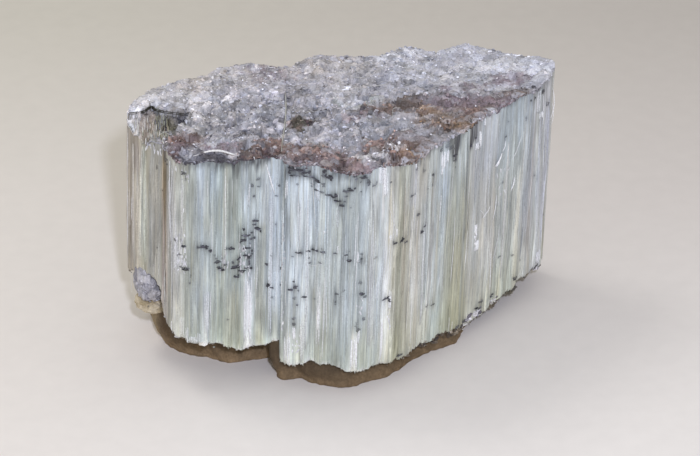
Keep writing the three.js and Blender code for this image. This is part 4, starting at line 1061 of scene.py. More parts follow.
MARKS_CENTRE = [
    (42.6, 46.3, 1.4, 0.9, 1.0), (43.5, 46.5, 1.6, 0.7, 1.0), (44.5, 46.3, 1.4, 0.7, 1.0), (42.4, 45.2, 1.0, 1.2, 1.0),
    (45.0, 45.9, 1.0, 0.6, 0.9), (43.8, 45.2, 1.0, 0.5, 0.7), (45.9, 46.0, 0.4, 1.0, 0.9), (45.4, 45.2, 1.0, 0.4, 0.8),
    (46.5, 45.0, 1.3, 0.4, 0.9), (47.2, 44.5, 0.5, 1.0, 0.8), (47.6, 44.2, 0.7, 0.6, 1.0), (46.7, 43.5, 0.7, 1.2, 0.5),
    (48.7, 43.8, 0.8, 1.2, 0.6), (47.4, 42.5, 0.9, 0.6, 0.7), (48.4, 42.2, 1.3, 0.4, 0.6), (48.8, 46.4, 0.6, 0.9, 0.9),
    (49.2, 45.9, 0.5, 1.0, 0.9), (50.1, 45.5, 1.0, 0.8, 1.0), (48.7, 45.6, 0.7, 1.0, 0.6), (50.0, 42.0, 1.5, 0.4, 0.8),
    (50.9, 41.8, 1.1, 0.8, 1.0), (52.9, 43.0, 1.3, 0.6, 0.7), (54.0, 43.5, 1.2, 1.0, 0.9), (53.1, 42.0, 0.7, 0.6, 0.6),
    (51.3, 40.8, 1.3, 0.5, 1.0), (52.1, 40.0, 1.0, 0.5, 0.9), (52.8, 40.8, 0.7, 0.4, 0.6), (54.8, 45.6, 1.1, 1.4, 0.8),
    (56.1, 45.6, 1.0, 0.8, 0.8), (57.0, 44.6, 0.6, 1.8, 0.7), (55.6, 44.6, 0.5, 0.6, 0.6), (58.3, 43.2, 0.6, 0.8, 0.5),
    (58.9, 43.8, 0.4, 0.8, 0.5), (62.0, 42.8, 0.6, 0.6, 0.4), 
    (44.1, 29.2, 0.9, 0.35, 1.0), (44.9, 29.2, 0.5, 0.3, 1.0), (46.2, 29.8, 1.0, 0.4, 1.0), (47.0, 30.0, 0.9, 0.4, 1.0),
    (47.7, 29.8, 0.8, 0.35, 0.9), (48.7, 30.5, 0.3, 0.6, 0.5), (48.7, 29.8, 0.6, 0.4, 0.7), (49.3, 29.8, 0.6, 0.4, 0.7),
    (51.2, 30.0, 0.7, 0.4, 0.7), (53.3, 29.8, 0.9, 0.4, 0.6), (53.9, 28.8, 1.2, 0.5, 0.9), (46.3, 28.2, 0.5, 0.6, 0.5),
    (46.4, 27.2, 0.5, 0.6, 0.6), (48.6, 27.5, 0.8, 0.4, 0.6), (56.5, 28.5, 0.8, 0.6, 0.6), (56.4, 27.8, 0.9, 0.6, 0.4),
    (56.5, 29.5, 0.6, 0.4, 0.4), (59.1, 28.2, 0.7, 0.8, 0.3), (63.3, 30.0, 1.1, 0.5, 0.8), (64.8, 30.0, 1.4, 0.8, 1.0),
    (65.8, 29.2, 0.9, 0.4, 0.7), (43.7, 23.0, 0.6, 0.4, 0.8), (43.9, 22.0, 0.8, 0.8, 0.9), (43.1, 21.2, 0.9, 0.5, 0.9),
    (44.5, 21.2, 0.5, 0.6, 0.6), (45.6, 20.0, 1.0, 0.4, 0.9), (44.4, 18.2, 0.5, 0.6, 0.7), (43.9, 19.5, 0.6, 1.2, 0.4),
    (43.8, 15.2, 0.6, 1.2, 0.5), (43.9, 14.0, 0.8, 0.6, 0.6), (51.7, 21.5, 0.6, 1.0, 0.6), (51.6, 19.8, 0.3, 1.4, 0.5),
    (56.6, 21.2, 1.1, 0.6, 0.9), (57.0, 20.5, 0.7, 0.6, 0.6), (56.3, 23.5, 0.8, 1.0, 0.4), (57.0, 15.8, 0.8, 0.6, 0.6),
    (55.7, 14.8, 0.5, 1.6, 0.4), (56.1, 13.5, 1.1, 0.8, 0.5), (61.9, 18.5, 1.6, 0.4, 0.9), (62.8, 17.8, 0.6, 0.8, 0.9),
]
MARKS_RIGHT = [
    (73.5, 39.8, 0.8, 0.6, 0.8), (73.2, 38.0, 0.5, 0.6, 0.5), (69.4, 33.5, 1.2, 0.5, 0.6), (71.7, 30.0, 1.0, 0.5, 0.8),
    (70.7, 29.2, 1.1, 0.5, 0.9), (67.0, 38.2, 1.1, 0.4, 0.5), (68.2, 38.5, 0.8, 0.4, 0.4), (68.2, 43.5, 0.5, 1.8, 0.5),
    (70.6, 41.8, 0.6, 1.2, 0.3), (79.1, 41.8, 1.0, 0.5, 0.9), (79.1, 40.8, 0.8, 0.4, 0.7),
    (77.9, 43.8, 1.0, 0.8, 0.6), (76.8, 44.9, 1.3, 1.2, 0.5), (83.5, 42.0, 0.6, 0.6, 1.0), (85.2, 43.0, 0.6, 0.6, 0.9),
    (75.3, 44.2, 0.8, 1.2, 0.5), (94.7, 39.2, 0.6, 0.6, 0.6), (100.5, 40.8, 1.0, 0.8, 0.4), (102.2, 44.2, 1.6, 1.0, 0.8),
    (108.0, 40.8, 1.2, 0.8, 0.6), (105.6, 44.2, 1.4, 0.8, 0.7), (95.0, 13.2, 0.8, 0.5, 0.5), (98.8, 11.8, 0.8, 0.4, 0.5),
    (73.5, 12.0, 2.1, 0.4, 0.6), (75.2, 11.5, 1.0, 0.4, 0.6), (89.3, 5.8, 1.3, 0.7, 0.6), (88.5, 4.7, 1.7, 0.6, 0.8),
    (92.7, 5.5, 1.7, 0.8, 0.8), (105.2, 5.5, 2.3, 0.9, 0.5), (107.5, 5.2, 1.7, 0.7, 0.8), (100.0, 6.2, 1.9, 0.8, 0.8),
    (84.6, 3.7, 1.0, 0.6, 0.7), (81.9, 3.7, 1.3, 0.7, 0.7), (65.6, 4.8, 1.4, 0.5, 0.7),
]
# Round the back the same kind of specks, scattered.
def scattered_marks(seed):
    rng = np.random.default_rng(seed)
    rows = []
    for _ in range(16):
        s0, z0 = rng.uniform(116, 204), rng.uniform(9, 42)
        if rng.random() < 0.55:          # a broken level line
            for k in range(rng.integers(3, 8)):
                rows.append((s0 + k * rng.uniform(0.8, 1.6), z0 + rng.normal(0, 0.4), rng.uniform(0.5, 1.4), rng.uniform(0.3, 0.6), rng.uniform(0.5, 1)))
        else:                            # a small cluster
            for k in range(rng.integers(6, 16)):
                rows.append((s0 + rng.normal(0, 1.2), z0 + rng.normal(0, 2.2), rng.uniform(0.4, 1.1), rng.uniform(0.4, 0.9), rng.uniform(0.5, 1)))
    for _ in range(26):                  # painted shade under the rim, as dark specks
        s0 = rng.uniform(114, 206)
        rows.append((s0, 45.4 + rng.normal(0, 0.5), rng.uniform(0.8, 2.4), rng.uniform(0.5, 1.6), rng.uniform(0.4, 0.9)))
    for _ in range(60):                  # single specks everywhere
        s0 = rng.uniform(0, PERIMETER)
        rows.append((s0, rng.uniform(8, 44), rng.uniform(0.25, 0.6), rng.uniform(0.2, 0.5), rng.uniform(0.25, 0.6)))
    return rows


ALL_MARKS = np.array(MARKS_LEFT + MARKS_CENTRE + MARKS_RIGHT + scattered_marks(532))


def stains():
    """Grey halo in the fibres around the dark specks."""
    dark = np.zeros(SIDE_Z.shape)
    for s, z, w, h, k in ALL_MARKS:
        reach = 0.55 * w + 0.9
        cols = np.nonzero(np.abs(SIDE_S - s) < 2.2 * reach)[0]
        if not len(cols):
            continue
        ds = (SIDE_S[cols] - s)[:, None] / (0.50 * w + 0.22)
        dz = (SIDE_Z[cols] - z) / (0.55 * h + 0.45)
        dark[cols] += 0.55 * k * np.exp(-0.8 * (ds * ds + dz * dz))
    return np.minimum(dark, 0.8)


def rim_shade_and_streaks():
    """Painted shade on the fibres: dark bands that run down from under the wall's rim, and the tall dark streaks."""
    dark = np.zeros(SIDE_Z.shape)
    fall = SIDE_TOP[:, None] - SIDE_Z
    for a, b, deep, k in UNDER:
        part = smooth((SIDE_S - a) / 0.5 + 0.5) * smooth((b - SIDE_S) / 0.5 + 0.5)
        length = deep * (1.4 if 26 < a < 36 else 1.0) * (0.55 + 0.85 * np.clip(0.5 + 0.9 * noise1(SIDE_S / 0.55, 73) + 0.5 * noise1(SIDE_S / 0.2, 74), 0.05, 1.4))
        w = (min(1.0, k * (1.2 if 26 < a < 36 else 0.9 if b < 60 else 1.0)) * part)[:, None] * smooth(1.25 - fall / length[:, None])
        dark = np.maximum(dark, w * (0.75 + 0.25 * noise2(grid_s / 0.25, SIDE_Z / 0.9, 75)))
    ragged = noise1(SIDE_S / 0.22, 76)[:, None]
    for s, half, low, high, k in STREAKS:
        w = k * smooth(1.5 - np.abs(grid_s - s + 0.12 * noise1(SIDE_Z / 2.0, 77)) / half)
        w = w * smooth((SIDE_Z - low + (0.9 if high - low < 8 else 3.0) * ragged) / 0.9) * smooth((high - SIDE_Z) / 1.2 + 0.5)
        dark = np.maximum(dark, w * (0.80 + 0.20 * noise2(grid_s / 0.18, SIDE_Z / 1.6, 78)))
    return np.clip(dark, 0, 0.93)


def build_sides():
    nc, nr = SIDE_Z.shape
    # painted shade in the creases between fibre bundles
    colour = fibre_tint(grid_s, SIDE_Z, HUE, SHADE - 0.9 * VALLEY_SHADE)
    # broken ends are paler all round, more so on the front left and by the crack
    ends = smooth(1 - (SIDE_Z - SIDE_END[:, None]) / 1.1)
    colour = mix(colour, np.minimum(colour * 1.25, 0.9), (0.6 * ends)[..., None])
    frayed = smooth(1 - (SIDE_Z - SIDE_END[:, None]) / 2.2) * (smooth((SIDE_S - 26) / 2) * smooth((41.6 - SIDE_S) / 1))[:, None]
    colour = mix(colour, np.minimum(colour * 1.28, 0.9), (0.8 * frayed)[..., None])
    tufts = smooth(1 - (SIDE_Z - SIDE_END[:, None]) / (0.35 + 1.5 * hashed(np.floor(SIDE_S / 0.29), 0, 0, 45) ** 1.5)[:, None])
    tufts = tufts * (0.45 + 0.55 * smooth(noise1(SIDE_S / 0.33, 47) + 0.6))[:, None]
    where = (smooth(noise1(SIDE_S / 1.4, 46) + 0.9) * smooth((SIDE_S - 17) / 2) * smooth((64 - SIDE_S) / 3))[:, None]
    colour = mix(colour, FIBRE_TONES["white"] * 0.9, (0.75 * tufts * where)[..., None])
    colour = mix(colour, colour * 0.22 + 0.02, stains()[..., None])
    # painted shade: darken the fibres under the wall's rim and along the dark streaks
    colour = mix(colour, srgb(42, 42, 52), rim_shade_and_streaks()[..., None])
    points = [SIDE_POS.reshape(-1, 3)]
    tints = [colour.reshape(-1, 3)]
    fib = [np.stack([grid_s, SIDE_Z, np.zeros_like(SIDE_Z)], -1).reshape(-1, 3)]
    idx = np.arange(nc * nr).reshape(nc, nr)
    nxt = np.roll(idx, -1, axis=0)
    a, b, c, d = idx[:, :-1], nxt[:, :-1], nxt[:, 1:], idx[:, 1:]
    quads = np.stack([a, b, c, d], -1).reshape(-1, 4)
    # UV: five stacked strips
    strips = 5
    per = int(math.ceil(nc / strips))
    col = np.arange(nc)
    strip = col // per
    u0 = (col - strip * per) / per
    u1 = u0 + 1 / per
    v = (strip[:, None] + 0.03 + 0.94 * ROWS[None, :]) / strips * 0.9
    uv = np.stack([
        np.stack([np.broadcast_to(u0[:, None], (nc, nr - 1)), v[:, :-1]], -1),
        np.stack([np.broadcast_to(u1[:, None], (nc, nr - 1)), v[:, :-1]], -1),
        np.stack([np.broadcast_to(u1[:, None], (nc, nr - 1)), v[:, 1:]], -1),
        np.stack([np.broadcast_to(u0[:, None], (nc, nr - 1)), v[:, 1:]], -1),
    ], 2).reshape(-1, 4, 2)
    faces, uvs = [quads], [uv]
    start = nc * nr
    middle = np.array([0.0, 3.0])

    def cap(ring, steps, last, lower, u_shift):
        nonlocal start
        base = ring
        rim_xy = SIDE_POS[:, 0 if lower else -1, :2]
        rim_z = SIDE_POS[:, 0 if lower else -1, 2]
        for inward, dz in steps:
            toward = (np.stack([SIDE_P[:, 0] * 0.72, 4 + (SIDE_P[:, 1] - 4) * 0.25], 1) - rim_xy)
            far = np.linalg.norm(toward, axis=1)[:, None]
            xy = rim_xy + toward * np.minimum(inward / far, 0.9)
            if lower:
                z = rim_z + dz + 0.25 * noise2(xy[:, 0] / 1.1, xy[:, 1] / 1.1, 88)
            else:
                z = np.minimum(rim_z + dz, wall_base(xy[:, 0], xy[:, 1], np.full(len(xy), 5.0)) - 1.2)
            points.append(np.concatenate([xy, z[:, None]], 1))
            shade = srgb(120, 112, 98) if lower else srgb(120, 118, 120)
            tints.append(np.ones((nc, 3)) * shade * (0.8 + 0.4 * hashed(np.arange(nc), 0, 9, 44))[:, None])
            fib.append(np.stack([SIDE_S, z, np.full(nc, inward)], 1))
            ring2 = np.arange(start, start + nc)
            start += nc
            q = np.stack([base, np.roll(base, -1), np.roll(ring2, -1), ring2], 1)
            if lower:
                q = q[:, ::-1]
            faces.append(q)
            pp = np.concatenate(points)[q][..., :2]
            uvs.append(np.stack([u_shift + 0.48 * (pp[..., 0] + 42) / 84, 0.905 + 0.09 * (pp[..., 1] + 24) / 54], -1))
            base = ring2
        points.append(np.array([[middle[0], middle[1], last]]))
        tints.append(np.array([srgb(110, 104, 92)]))
        fib.append(np.array([[0.0, last, 5.0]]))
        centre = start
        start += 1
        tri = np.stack([base, np.roll(base, -1), np.full(nc, centre)], 1)
        if lower:
            tri = tri[:, ::-1]
        faces.append(tri)
        pp = np.concatenate(points)[tri][..., :2]
        uvs.append(np.stack([u_shift + 0.48 * (pp[..., 0] + 42) / 84, 0.905 + 0.09 * (pp[..., 1] + 24) / 54], -1))

    cap(idx[:, 0], [(0.45, 0.25), (1.4, 0.5), (4.0, 0.8)], 6.0, True, 0.0)
    cap(idx[:, -1], [(0.8, -0.2), (2.2, -1.2)], 42.0, False, 0.5)
    return make_mesh("fibre_sides", np.concatenate(points), faces, FIBRE, tint=np.concatenate(tints),
                     extra={"fib": np.concatenate(fib)}, uv=uvs)


build_sides()

# ----------------------------------------------------------------- crust: mesh
RIM_OUT = SIDE_OUT[:, -1] + 0.06 + 0.12 * np.abs(noise1(SIDE_S / 0.55, 91)) + 0.12 * noise1(SIDE_S / 1.6, 92)
RIM_XY = SIDE_P + SIDE_N * RIM_OUT[:, None]


def build_crust():
    g = 0.235
    xs = np.arange(-41.0, 42.4, g)
    ys = np.arange(-23.4, 30.4, g)
    X, Y = np.meshgrid(xs, ys, indexing="ij")
    cx, cy = (X[:-1, :-1] + g / 2), (Y[:-1, :-1] + g / 2)
    rim = RIM_XY[::2]
    ok = inside(rim, cx, cy)
    # no lone cells
    pad = np.pad(ok, 1)
    near = pad[:-2, 1:-1].astype(int) + pad[2:, 1:-1] + pad[1:-1, :-2] + pad[1:-1, 2:]
    ok &= near >= 2
    number = -np.ones(X.shape, int)
    used = np.zeros(X.shape, bool)
    for i, j in ((0, 0), (1, 0), (1, 1), (0, 1)):
        used[i:X.shape[0] - 1 + i, j:X.shape[1] - 1 + j] |= ok
    number[used] = np.arange(used.sum())
    ii, jj = np.nonzero(ok)
    quads = np.stack([number[ii, jj], number[ii + 1, jj], number[ii + 1, jj + 1], number[ii, jj + 1]], 1)
    px, py = X[used], Y[used]
    # boundary edges: those used once
    e = np.concatenate([quads[:, [0, 1]], quads[:, [1, 2]], quads[:, [2, 3]], quads[:, [3, 0]]])
    key = np.minimum(e[:, 0], e[:, 1]) * (len(px) + 1) + np.maximum(e[:, 0], e[:, 1])
    _, first, count = np.unique(key, return_index=True, return_counts=True)
    border = e[first[count == 1]]
    verts = np.unique(border)
    # snap the boundary to the rim line
    best = np.full(len(verts), 1e9)
    arc = np.zeros(len(verts))
    qx, qy = px[verts].copy(), py[verts].copy()
    for k in range(len(RIM_XY)):
        a, b = RIM_XY[k], RIM_XY[(k + 1) % len(RIM_XY)]
        d = b - a
        L = d @ d
        t = np.clip(((px[verts] - a[0]) * d[0] + (py[verts] - a[1]) * d[1]) / max(L, 1e-9), 0, 1)
        fx, fy = a[0] + d[0] * t, a[1] + d[1] * t
        dist = (px[verts] - fx) ** 2 + (py[verts] - fy) ** 2
        take = dist < best
        best[take] = dist[take]
        qx[take], qy[take] = fx[take], fy[take]
        nx_s = SIDE_S[(k + 1) % len(SIDE_S)] if k + 1 < len(SIDE_S) else PERIMETER
        arc[take] = (SIDE_S[k] + (nx_s - SIDE_S[k]) * t)[take]
    px[verts], py[verts] = qx, qy
    rimd = rim_distance(px, py)
    z, ids, crevice_shade = crust_height(px, py, rimd, with_ids=True)
    (c0i, c0j, c0x, c0y), (c1i, c1j, c1x, c1y), (c2i, c2j, c2x, c2y) = ids
    # the grains' relief is held back near the rim so that it meets the fibres
    base = wall_base(px, py, rimd)
    z = base + (z - base) * (0.35 + 0.65 * smooth(rim_distance(px, py, False) / 1.6))
    colour = mix(grain_tone(c1x, c1y, c1i, c1j, 12), grain_tone(c2x, c2y, c2i, c2j, 13, 0.9), 0.42)
    broad = hashed(c0i, c0j, 21, 11) - 0.5
    colour = colour * (1 + 0.30 * broad * roughness_of(px, py))[:, None]
    # painted shade in the crevices between grains
    colour = colour * (1 - 0.42 * crevice_shade)[:, None]
    points = [np.stack([px, py, z], 1)]
    tints = [colour]
    uv_of = np.stack([0.01 + 0.98 * (px + 42) / 84, 0.01 + 0.76 * (py + 24) / 54], 1)
    faces, uvs = [quads], [uv_of[quads]]
    # the rim hangs down over the fibres in a ragged skirt
    hang = np.interp(arc, [a for a, _ in RIM_HANG], [b for _, b in RIM_HANG])
    hang = np.maximum(0.14, (hang - 0.30) * (0.85 + 0.4 * noise1(arc / 0.8, 95)) + 0.16 * noise1(arc / 0.35, 96))
    _, n = at_outline(arc)
    lut = np.zeros(len(px), int)
    lut[verts] = np.arange(len(verts))
    start = len(px)
    prev = None
    steps = [0.16, 0.34, 0.52, 0.70, 0.86, 1.0]
    ring_ids = [verts]
    v_of = [np.zeros(len(verts))]
    for k, f in enumerate(steps):
        out = 0.10 * math.sin(math.pi * min(1, f + 0.15)) + 0.08 * noise3(arc / 0.6, hang * f / 0.5, np.full(len(arc), k * 0.7), 97)
        if f == 1.0:
            out = np.full(len(arc), -0.28)
        xy = np.stack([qx, qy], 1) + n * np.reshape(out, (-1, 1))
        zz = z[verts] - hang * f - 0.05
        points.append(np.concatenate([xy, zz[:, None]], 1))
        gi = np.floor(arc / 0.62); gj = np.floor(hang * f / 0.45)
        tone = grain_tone(qx - n[:, 0] * 0.5, qy - n[:, 1] * 0.5, gi, gj, 98)
        # painted shade: the skirt darkens down towards its lower edge
        tints.append(tone * (0.90 - 0.35 * f))
        ring_ids.append(np.arange(start, start + len(verts)))
        v_of.append(np.full(len(verts), f))
        start += len(verts)
    # closed underside, hidden in the fibres
    toward = np.stack([qx * 0.72, 4 + (qy - 4) * 0.25], 1) - np.stack([qx, qy], 1)
    far = np.linalg.norm(toward, axis=1)[:, None]
    xy = np.stack([qx, qy], 1) + toward * np.minimum(1.6 / far, 0.9)
    points.append(np.concatenate([xy, (np.minimum(z[verts] - 1.3, wall_base(xy[:, 0], xy[:, 1], np.full(len(xy), 5.0)) - 1.1))[:, None]], 1))
    tints.append(np.ones((len(verts), 3)) * TONES["grey"])
    ring_ids.append(np.arange(start, start + len(verts)))
    v_of.append(np.full(len(verts), 1.1))
    start += len(verts)
    points.append(np.array([[0.0, 3.0, 42.4]]))
    tints.append(TONES["grey"][None])
    centre = start
    a, b = lut[border[:, 0]], lut[border[:, 1]]
    ua, ub = arc[a] / PERIMETER, arc[b] / PERIMETER
    ub = np.where(ub - ua > 0.5, ub - 1, ub)
    ub = np.where(ua - ub > 0.5, ub + 1, ub)
    for k in range(len(ring_ids) - 1):
        r0, r1 = ring_ids[k], ring_ids[k + 1]
        q = np.stack([r0[b], r0[a], r1[a], r1[b]], 1)
        faces.append(q)
        v0, v1 = 0.80 + 0.15 * v_of[k][0], 0.80 + 0.15 * v_of[k + 1][0]
        uvs.append(np.stack([np.stack([ub, np.full_like(ub, v0)], 1), np.stack([ua, np.full_like(ua, v0)], 1),
                             np.stack([ua, np.full_like(ua, v1)], 1), np.stack([ub, np.full_like(ub, v1)], 1)], 1))
    r = ring_ids[-1]
    faces.append(np.stack([r[b], r[a], np.full(len(a), centre)], 1))
    uvs.append(np.stack([np.stack([ub, np.full_like(ub, 0.97)], 1), np.stack([ua, np.full_like(ua, 0.97)], 1),
                         np.stack([(ua + ub) / 2, np.full_like(ub, 0.995)], 1)], 1))
    return make_mesh("upper_wall", np.concatenate(points), faces, CRUST, tint=np.concatenate(tints), uv=uvs)


build_crust()


# --------------------------------------------------------- small things: makers
def frames_from(normal, turn):
    """Two unit vectors square to each normal, turned by an angle."""
    up = np.where(np.abs(normal[:, 2:3]) > 0.9, np.array([[1.0, 0, 0]]), np.array([[0, 0, 1.0]]))
    a = np.cross(up, normal)
    a /= np.linalg.norm(a, axis=1)[:, None]
    b = np.cross(normal, a)
    c, s = np.cos(turn)[:, None], np.sin(turn)[:, None]
    return a * c + b * s, -a * s + b * c


def plates(name, centre, normal, turn, length, width, thick, tint, gloss, material, seed, sides=6):
    """Many thin, irregular plates as one mesh."""
    rng = np.random.default_rng(seed)
    n = len(centre)
    a, b = frames_from(normal, turn)
    angle = (np.arange(sides) + rng.uniform(-0.32, 0.32, (n, sides))) * 2 * math.pi / sides
    radius = rng.uniform(0.72, 1.12, (n, sides))
    ca, sa = np.cos(angle) * radius * length[:, None] / 2, np.sin(angle) * radius * width[:, None] / 2
    flat = centre[:, None, :] + ca[..., None] * a[:, None, :] + sa[..., None] * b[:, None, :]
    bend = rng.normal(0, 0.10, (n, sides, 1)) * thick[:, None, None] * normal[:, None, :]
    top = flat + normal[:, None, :] * thick[:, None, None] / 2 + bend
    low = centre[:, None, :] + (flat - centre[:, None, :]) * 0.94 - normal[:, None, :] * thick[:, None, None] / 2 + bend
    points = np.concatenate([top, low], 1).reshape(-1, 3)
    base = np.arange(n)[:, None] * sides * 2
    up = base + np.arange(sides)[None, :]
    down = base + sides + np.arange(sides)[::-1][None, :]
    k = np.arange(sides)
    j = (k + 1) % sides
    wall = np.stack([k + sides, j + sides, j, k], -1)[None] + base[:, :, None]
    faces = [up, down, wall.reshape(-1, 4)]
    tints = np.repeat(tint, sides * 2, axis=0)
    uv = cell_uv(n, (1, 1, sides), (sides, sides, 4))
    return make_mesh(name, points, faces, material, tint=tints, extra={"gloss": np.repeat(gloss, sides * 2)}, uv=uv, flat=True)


PHI = (1 + 5 ** 0.5) / 2
ICO = np.array([(-1, PHI, 0), (1, PHI, 0), (-1, -PHI, 0), (1, -PHI, 0), (0, -1, PHI), (0, 1, PHI),
                (0, -1, -PHI), (0, 1, -PHI), (PHI, 0, -1), (PHI, 0, 1), (-PHI, 0, -1), (-PHI, 0, 1)], float)
ICO /= np.linalg.norm(ICO, axis=1)[:, None]
ICO_FACES = np.array([(0, 11, 5), (0, 5, 1), (0, 1, 7), (0, 7, 10), (0, 10, 11), (1, 5, 9), (5, 11, 4), (11, 10, 2),
                      (10, 7, 6), (7, 1, 8), (3, 9, 4), (3, 4, 2), (3, 2, 6), (3, 6, 8), (3, 8, 9), (4, 9, 5),
                      (2, 4, 11), (6, 2, 10), (8, 6, 7), (9, 8, 1)])


def lumps(name, centre, normal, turn, size, tint, gloss, material, seed, rough=0.28, flat=True):
    """Many small angular grains as one mesh. size: (n, 3) full lengths along two flat axes and the normal."""
    rng = np.random.default_rng(seed)
    n = len(centre)
    a, b = frames_from(normal, turn)
    shape = ICO[None] * (1 + rng.uniform(-rough, rough, (n, 12, 1)))
    # squared a little, so that grains look broken, not round
    shape = np.sign(shape) * np.abs(shape) ** 0.85
    local = shape * size[:, None, :] / 2
    points = centre[:, None, :] + local[..., 0:1] * a[:, None, :] + local[..., 1:2] * b[:, None, :] + local[..., 2:3] * normal[:, None, :]
    faces = (ICO_FACES[None] + np.arange(n)[:, None, None] * 12).reshape(-1, 3)
    uv = cell_uv(n, (20,), (3,))
    return make_mesh(name, points.reshape(-1, 3), [faces], material, tint=np.repeat(tint, 12, axis=0),
                     extra={"gloss": np.repeat(gloss, 12)}, uv=uv, flat=flat)


def threads(name, lines, radius, tint, gloss, material, taper=0.55):
    """Many thin three-sided fibres as one mesh. lines: (n, k, 3) points; radius: (n,)."""
    n, k, _ = lines.shape
    along = np.gradient(lines, axis=1)
    along /= np.maximum(np.linalg.norm(along, axis=2, keepdims=True), 1e-9)
    ref = np.where(np.abs(along[..., 2:3]) > 0.8, np.array([0, 1.0, 0]), np.array([0, 0, 1.0]))
    a = np.cross(along, ref)
    a /= np.linalg.norm(a, axis=2, keepdims=True)
    b = np.cross(along, a)
    t = np.linspace(0, 1, k)
    slim = (1 - taper) + taper * np.sin(math.pi * np.clip(t * 0.94 + 0.03, 0, 1)) ** 0.6
    r = radius[:, None] * slim[None, :]
    rings = []
    for q in range(3):
        w = 2 * math.pi * q / 3 + 0.4
        rings.append(lines + (math.cos(w) * a + math.sin(w) * b) * r[..., None])
    points = np.stack(rings, 2).reshape(-1, 3)          # n, k, 3 corners
    idx = np.arange(n * k * 3).reshape(n, k, 3)
    nxt = np.roll(idx, -1, axis=2)
    quads = np.stack([idx[:, :-1], nxt[:, :-1], nxt[:, 1:], idx[:, 1:]], -1).reshape(-1, 4)
    caps = np.concatenate([idx[:, 0, ::-1], idx[:, -1, :]])
    # UV: one upright cell per fibre
    side = int(math.ceil(math.sqrt(n)))
    corner = np.stack([np.arange(n) % side, np.arange(n) // side], 1) / side
    u = np.arange(4) / 3 * 0.8 + 0.1
    v = t * 0.8 + 0.1
    uq = np.zeros((n, k - 1, 3, 4, 2))
    for q in range(3):
        uq[:, :, q, 0] = np.stack([np.full(k - 1, u[q]), v[:-1]], 1)
        uq[:, :, q, 1] = np.stack([np.full(k - 1, u[q + 1]), v[:-1]], 1)
        uq[:, :, q, 2] = np.stack([np.full(k - 1, u[q + 1]), v[1:]], 1)
        uq[:, :, q, 3] = np.stack([np.full(k - 1, u[q]), v[1:]], 1)
    uq = corner[:, None, None, None, :] + uq / side
    tri = np.array([(0.1, 0.02), (0.9, 0.02), (0.5, 0.08)])
    uc = corner[:, None, :] + tri[None] / side
    uvs = [uq.reshape(-1, 4, 2), np.concatenate([uc, uc])]
    colours = tint if tint.ndim == 3 else np.repeat(tint[:, None, :], k, axis=1)
    colours = np.repeat(colours.reshape(-1, 3), 3, axis=0)
    return make_mesh(name, points, [quads, caps], material, tint=colours,
                     extra={"gloss": np.repeat(gloss, k * 3)}, uv=uvs, flat=False)


# ---------------------------------------------------------- grains on the crust
def crust_places(count, seed, margin=0.0):
    rng = np.random.default_rng(seed)
    pts = np.zeros((0, 2))
    ring = RIM_XY[::3]
    while len(pts) < count:
        c = np.stack([rng.uniform(-40, 41, count * 2), rng.uniform(-22, 29, count * 2)], 1)
        c = c[inside(ring, c[:, 0], c[:, 1])]
        torn = scar(c[:, 0], c[:, 1]) > 0.1
        c = c[~torn | (rng.random(len(c)) < np.where(c[:, 0] < -32.4, 0.05, 0.35))]
        pts = np.concatenate([pts, c])
    return pts[:count], rng


def tilted(rng, n, amount, toward=None):
    """Unit normals spread about straight up."""
    v = np.stack([rng.normal(0, amount, n), rng.normal(0, amount, n), np.ones(n)], 1)
    if toward is not None:
        v[:, :2] += toward
    return v / np.linalg.norm(v, axis=1)[:, None]


def build_grains():
    pts, rng = crust_places(3000, 501)
    keep = platy(pts[:, 0], pts[:, 1]) < 0.6
    pts = pts[keep]
    n = len(pts)
    x, y = pts[:, 0], pts[:, 1]
    size = 0.36 * np.exp(rng.normal(0, 0.42, n))
    fx = roughness_of(x, y)
    size = np.clip(size, 0.18, 1.15) * (0.6 + 0.4 * fx)
    dims = np.stack([size * rng.uniform(1.0, 1.7, n), size * rng.uniform(0.7, 1.1, n), size * rng.uniform(0.6, 1.0, n) * fx], 1)
    z = crust_height(x, y) + dims[:, 2] * rng.uniform(-0.25, 0.22, n)
    tone = grain_tone(x, y, np.arange(n), np.zeros(n), 502, 1.0)
    lumps("wall_grains", np.stack([x, y, z], 1), tilted(rng, n, 0.35), rng.uniform(0, 6.28, n), dims, tone,
          rng.uniform(0, 1, n), GRAIN, 503)


def build_flakes():
    pts, rng = crust_places(2200, 511)
    n = len(pts)
    x, y = pts[:, 0], pts[:, 1]
    sheet = platy(x, y)
    length = np.clip(0.52 * np.exp(rng.normal(0, 0.38, n)), 0.25, 1.5) * (1 + 0.7 * sheet)
    width = length * rng.uniform(0.45, 0.85, n) * (1 - 0.5 * sheet)
    thick = rng.uniform(0.05, 0.12, n)
    normal = tilted(rng, n, 0.30)
    # in the platy zone the plates lie in near-level courses that face the front
    courses = tilted(rng, n, 0.12, np.array([0.0, -0.15]))
    normal = mix(normal, courses, sheet[:, None])
    normal /= np.linalg.norm(normal, axis=1)[:, None]
    turn = np.where(sheet > 0.3, rng.normal(0.0, 0.22, n), rng.uniform(0, 6.28, n))
    z = crust_height(x, y) + rng.uniform(-0.03, 0.12, n)
    tone = grain_tone(x, y, np.arange(n), np.ones(n), 512, 1.1)
    plates("wall_flakes", np.stack([x, y, z], 1), normal, turn, length, width, thick, tone, rng.uniform(0, 1, n), MICA, 513)


build_grains()
build_flakes()
